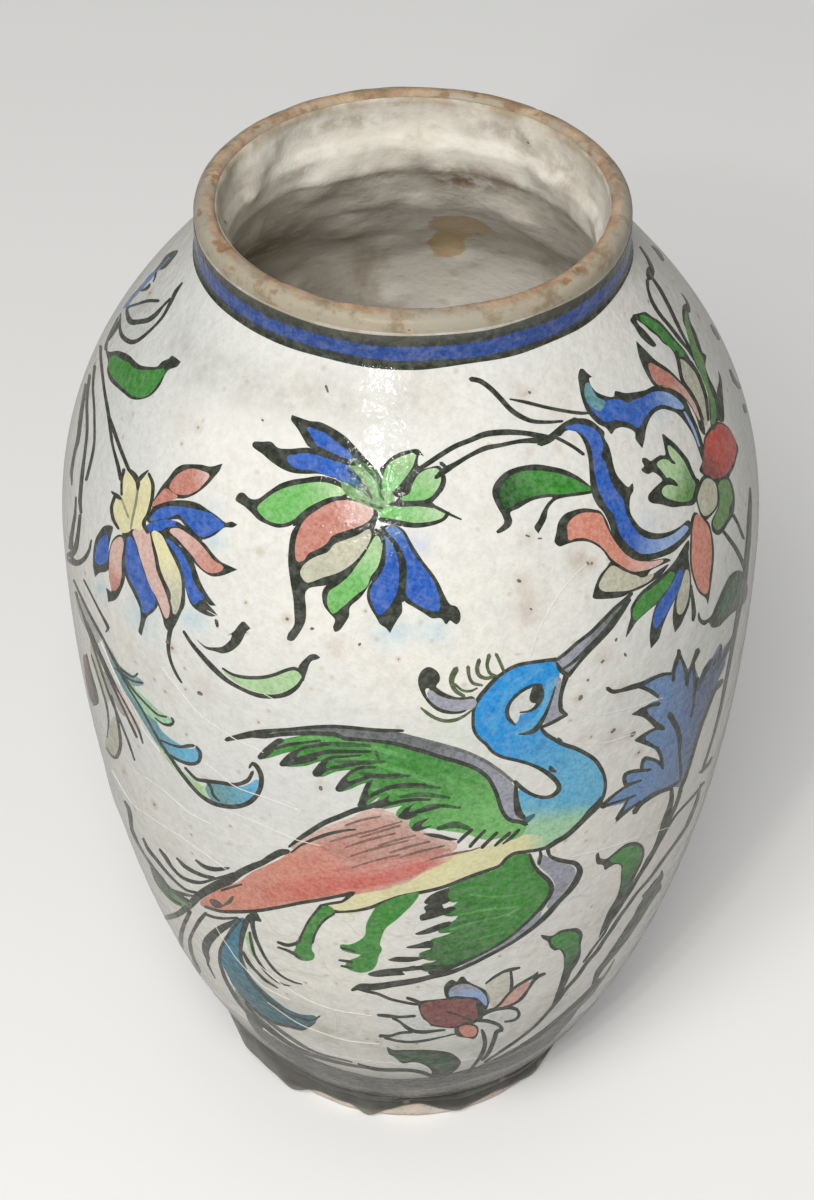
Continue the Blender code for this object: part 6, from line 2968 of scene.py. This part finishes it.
    def close(self, name: str, shape: bmesh.types.BMesh, material: bpy.types.Material) -> None:
        """Give a film its underside and show it.

        Args:
            name: piece name.
            shape: the film's upper face.
            material: its finish.
        """
        angle_layer = shape.verts.layers.float["angle"]
        arc_layer = shape.verts.layers.float["arc"]
        top_layer = shape.faces.layers.int["top"]
        tops = shape.faces[:]
        grown = bmesh.ops.extrude_face_region(shape, geom=tops, use_keep_orig=True)["geom"]
        below = [part for part in grown if isinstance(part, bmesh.types.BMVert)]
        angle = np.array([corner[angle_layer] for corner in below])
        arc = np.array([corner[arc_layer] for corner in below])
        for corner, place in zip(below, self.form.points(angle, arc, -self.sink)):
            corner.co = place
        for face in tops:
            face[top_layer] = 1
        bmesh.ops.recalc_face_normals(shape, faces=shape.faces)
        self.set_normals(show(name, shape, material).data)

    def set_normals(self, mesh: bpy.types.Mesh) -> None:
        """Give the film's upper face the glaze's own normals, so that the gloss runs on over it."""
        count = len(mesh.vertices)
        angle = np.zeros(count, np.float32)
        arc = np.zeros(count, np.float32)
        mesh.attributes["angle"].data.foreach_get("value", angle)
        mesh.attributes["arc"].data.foreach_get("value", arc)
        top = np.zeros(len(mesh.polygons), np.int32)
        mesh.attributes["top"].data.foreach_get("value", top)
        smooth = self.form.normals(angle.astype(float), arc.astype(float))
        totals = np.zeros(len(mesh.polygons), np.int32)
        mesh.polygons.foreach_get("loop_total", totals)
        owner = np.repeat(np.arange(len(mesh.polygons)), totals)
        corner = np.zeros(len(mesh.loops), np.int32)
        mesh.loops.foreach_get("vertex_index", corner)
        flat = np.zeros(len(mesh.polygons) * 3, np.float32)
        mesh.polygons.foreach_get("normal", flat)
        flat = flat.reshape(-1, 3)[owner]
        chosen = np.where(top[owner][:, None] == 1, smooth[corner], flat)
        mesh.normals_split_custom_set(chosen.tolist())
        for name in ("angle", "arc", "top"):
            mesh.attributes.remove(mesh.attributes[name])


@dataclass(frozen=True)
class Ring:
    """A painted ring: its heights, pigment, waver, densities at its lower and upper edge, and lift."""

    name: str
    low: float
    high: float
    pigment: Pigment
    waver: float
    weak: float
    strong: float
    lift: float


@dataclass
class RingBands:
    """The painted rings that run right round the neck and the foot; the grey band at the foot is partly
    painted shade.
    """

    painter: Painter
    steps: int = 360
    least_rows: int = 3
    row_height: float = 0.002
    fading: float = 1.7
    waver_pitch: float = 3.0
    row_seed: float = 5.0
    ring_seed: float = 900.0
    rings: tuple[Ring, ...] = (
        Ring("neck_ring_blue", 0.3002, 0.3060, Pigment.BAND_BLUE, 0.00030, 1.0, 1.0, 0.00009),
        Ring("neck_ring_low", 0.2983, 0.3008, Pigment.INK, 0.00090, 1.0, 1.0, 0.00012),
        Ring("neck_ring_high", 0.3054, 0.3085, Pigment.INK, 0.00090, 1.0, 0.9, 0.00012),
        # a grey band that darkens towards the foot: partly a wash, partly painted shade where the lower body
        # faces away from the light
        Ring("foot_wash", 0.0097, 0.0470, Pigment.SOOT, 0.00150, 1.0, 0.0, 0.00004),
    )

    def build(self) -> None:
        """Make every ring."""
        for ring in self.rings:
            self.make_ring(ring)

    def make_ring(self, ring: Ring) -> None:
        """Make one ring whose edges waver as a brush does."""
        painter = self.painter
        shape = painter.sheet()
        paint = shape.loops.layers.float_color["pigment"]
        rows = self.least_rows + round((ring.high - ring.low) / self.row_height)
        angle = np.linspace(0.0, 2 * math.pi, self.steps, endpoint=False)
        circle = [(math.cos(spin) * self.waver_pitch, math.sin(spin) * self.waver_pitch) for spin in angle]
        bottom, upper = painter.form.arc_at(np.array([ring.low, ring.high]))
        grid = []
        shade = {}
        for row in range(rows):
            share = row / (rows - 1)
            seed = row * self.row_seed + ring.low * self.ring_seed
            stray = [noise.noise(Vector((*spot, seed))) for spot in circle]
            arc = bottom + (upper - bottom) * share + np.array(stray) * ring.waver
            corners = painter.lay(shape, angle, arc, ring.lift)
            density = ring.weak + (ring.strong - ring.weak) * share**self.fading
            shade.update({corner: (*ring.pigment.linear(), density) for corner in corners})
            grid.append(corners)
        for lower, higher in zip(grid, grid[1:]):
            for index in range(self.steps):
                other = (index + 1) % self.steps
                face = shape.faces.new((lower[index], lower[other], higher[other], higher[index]))
                for loop in face.loops:
                    loop[paint] = shade[loop.vert]
        material = painter.ink_material if ring.pigment is Pigment.INK else painter.colour_material
        painter.close(ring.name, shape, material)


@dataclass(frozen=True)
class Lamp:
    """A square soft lamp, and whether the glaze mirrors it."""

    name: str
    place: tuple[float, float, float]
    power: float
    size: float = 0.045
    target: tuple[float, float, float] = (0.0, 0.0, 0.265)
    mirrored: bool = True

    def hang(self) -> None:
        """Put the lamp in the scene, aimed at its target."""
        data = bpy.data.lights.new(self.name, "AREA")
        data.size = self.size
        data.energy = self.power
        lamp = bpy.data.objects.new(self.name, data)
        aim = (Vector(self.target) - Vector(self.place)).to_track_quat("-Z", "Y")
        lamp.matrix_world = Matrix.Translation(self.place) @ aim.to_matrix().to_4x4()
        lamp.visible_glossy = self.mirrored
        bpy.context.scene.collection.objects.link(lamp)


@dataclass
class Studio:
    """Plain pale floor and soft light."""

    floor_size: float = 14.0
    floor_colour: str = "D0CFCC"
    floor_mottle: str = "CCCBC8"
    floor_seen: str = "EFEEEB"
    world_strength: float = 0.24
    backdrop: float = 0.9
    lamps: tuple[Lamp, ...] = (
        Lamp("key", (-0.34, -1.44, 1.745), 35.0, 0.9, (0.0, 0.0, 0.215), False),
        Lamp("high_glint", (-0.345, -1.313, 1.244), 2.2),
        Lamp("low_glint", (-0.395, -1.444, 1.080), 2.64),
    )

    def build(self) -> None:
        """Make the floor, the world and the lamps."""
        self.make_floor()
        self.make_world()
        for lamp in self.lamps:
            lamp.hang()
        bpy.context.scene.view_settings.view_transform = "Standard"

    def make_floor(self) -> None:
        """A wide flat floor under the foot."""
        shape = bmesh.new()
        bmesh.ops.create_grid(shape, x_segments=8, y_segments=8, size=self.floor_size / 2)
        mesh = bpy.data.meshes.new("floor")
        shape.to_mesh(mesh)
        shape.free()
        finish = Finish("floor_paper", Specular_IOR_Level=0.2, Emission_Strength=0.14)
        bench = finish.bench
        tone = bench.spread(bench.cloud(bench.place(), 3.0, 3.0), 0.2, 0.8)
        seen = bench.node("ShaderNodeLightPath").outputs["Is Camera Ray"]
        colour = bench.mix(tone, self.floor_colour, self.floor_mottle)
        colour = bench.mix(seen, colour, self.floor_seen)
        bench.feed(finish.shader.inputs["Emission Color"], bench.mix(seen, "000000", "FFFFFF"))
        rough = bench.spread(bench.cloud(bench.place(), 40.0, 2.0), 0.2, 0.8, 0.85, 0.95)
        mesh.materials.append(finish.finish(colour, rough))
        floor = bpy.data.objects.new("floor", mesh)
        bpy.context.scene.collection.objects.link(floor)

    def make_world(self) -> None:
        """Even light from all round, and a pale backdrop where the camera sees it."""
        world = bpy.data.worlds.new("studio")
        world.use_nodes = True
        bench = Bench(world.node_tree)
        background = world.node_tree.nodes["Background"]
        background.inputs["Color"].default_value = (1.0, 1.0, 1.0, 1.0)
        path = bench.node("ShaderNodeLightPath")
        seen = bench.times(path.outputs["Is Camera Ray"], self.backdrop - self.world_strength)
        bench.feed(background.inputs["Strength"], bench.plus(seen, self.world_strength))
        bpy.context.scene.world = world


def main() -> None:
    """Build the vase, its painting and the studio, in order."""
    logging.basicConfig(level=logging.INFO, format="%(name)s %(message)s")
    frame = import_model()
    form = VaseForm()
    view = PhotoView()
    view.make_camera()
    Vessel(form, view).build(frame["nodes"])
    ink_film = PaintFilm("ink_film", grain=0.4, thin=0.92, darken=0.4).make()
    colour_film = PaintFilm("colour_film").make()
    painter = Painter(form, view, ink_film, colour_film)
    RingBands(painter).build()
    replace(painter, lift=FOOT_BAND_LIFT).paint(FOOT_BAND)
    for motif in PAINTING:
        painter.paint(motif)
    crack_film = PaintFilm("crack_film", grain=0.0, thin=0.98, darken=0.0).make()
    replace(painter, colour_material=crack_film, lift=CRAZING_LIFT).paint(CRAZING)
    Studio().build()


if __name__ == "__main__":
    main()
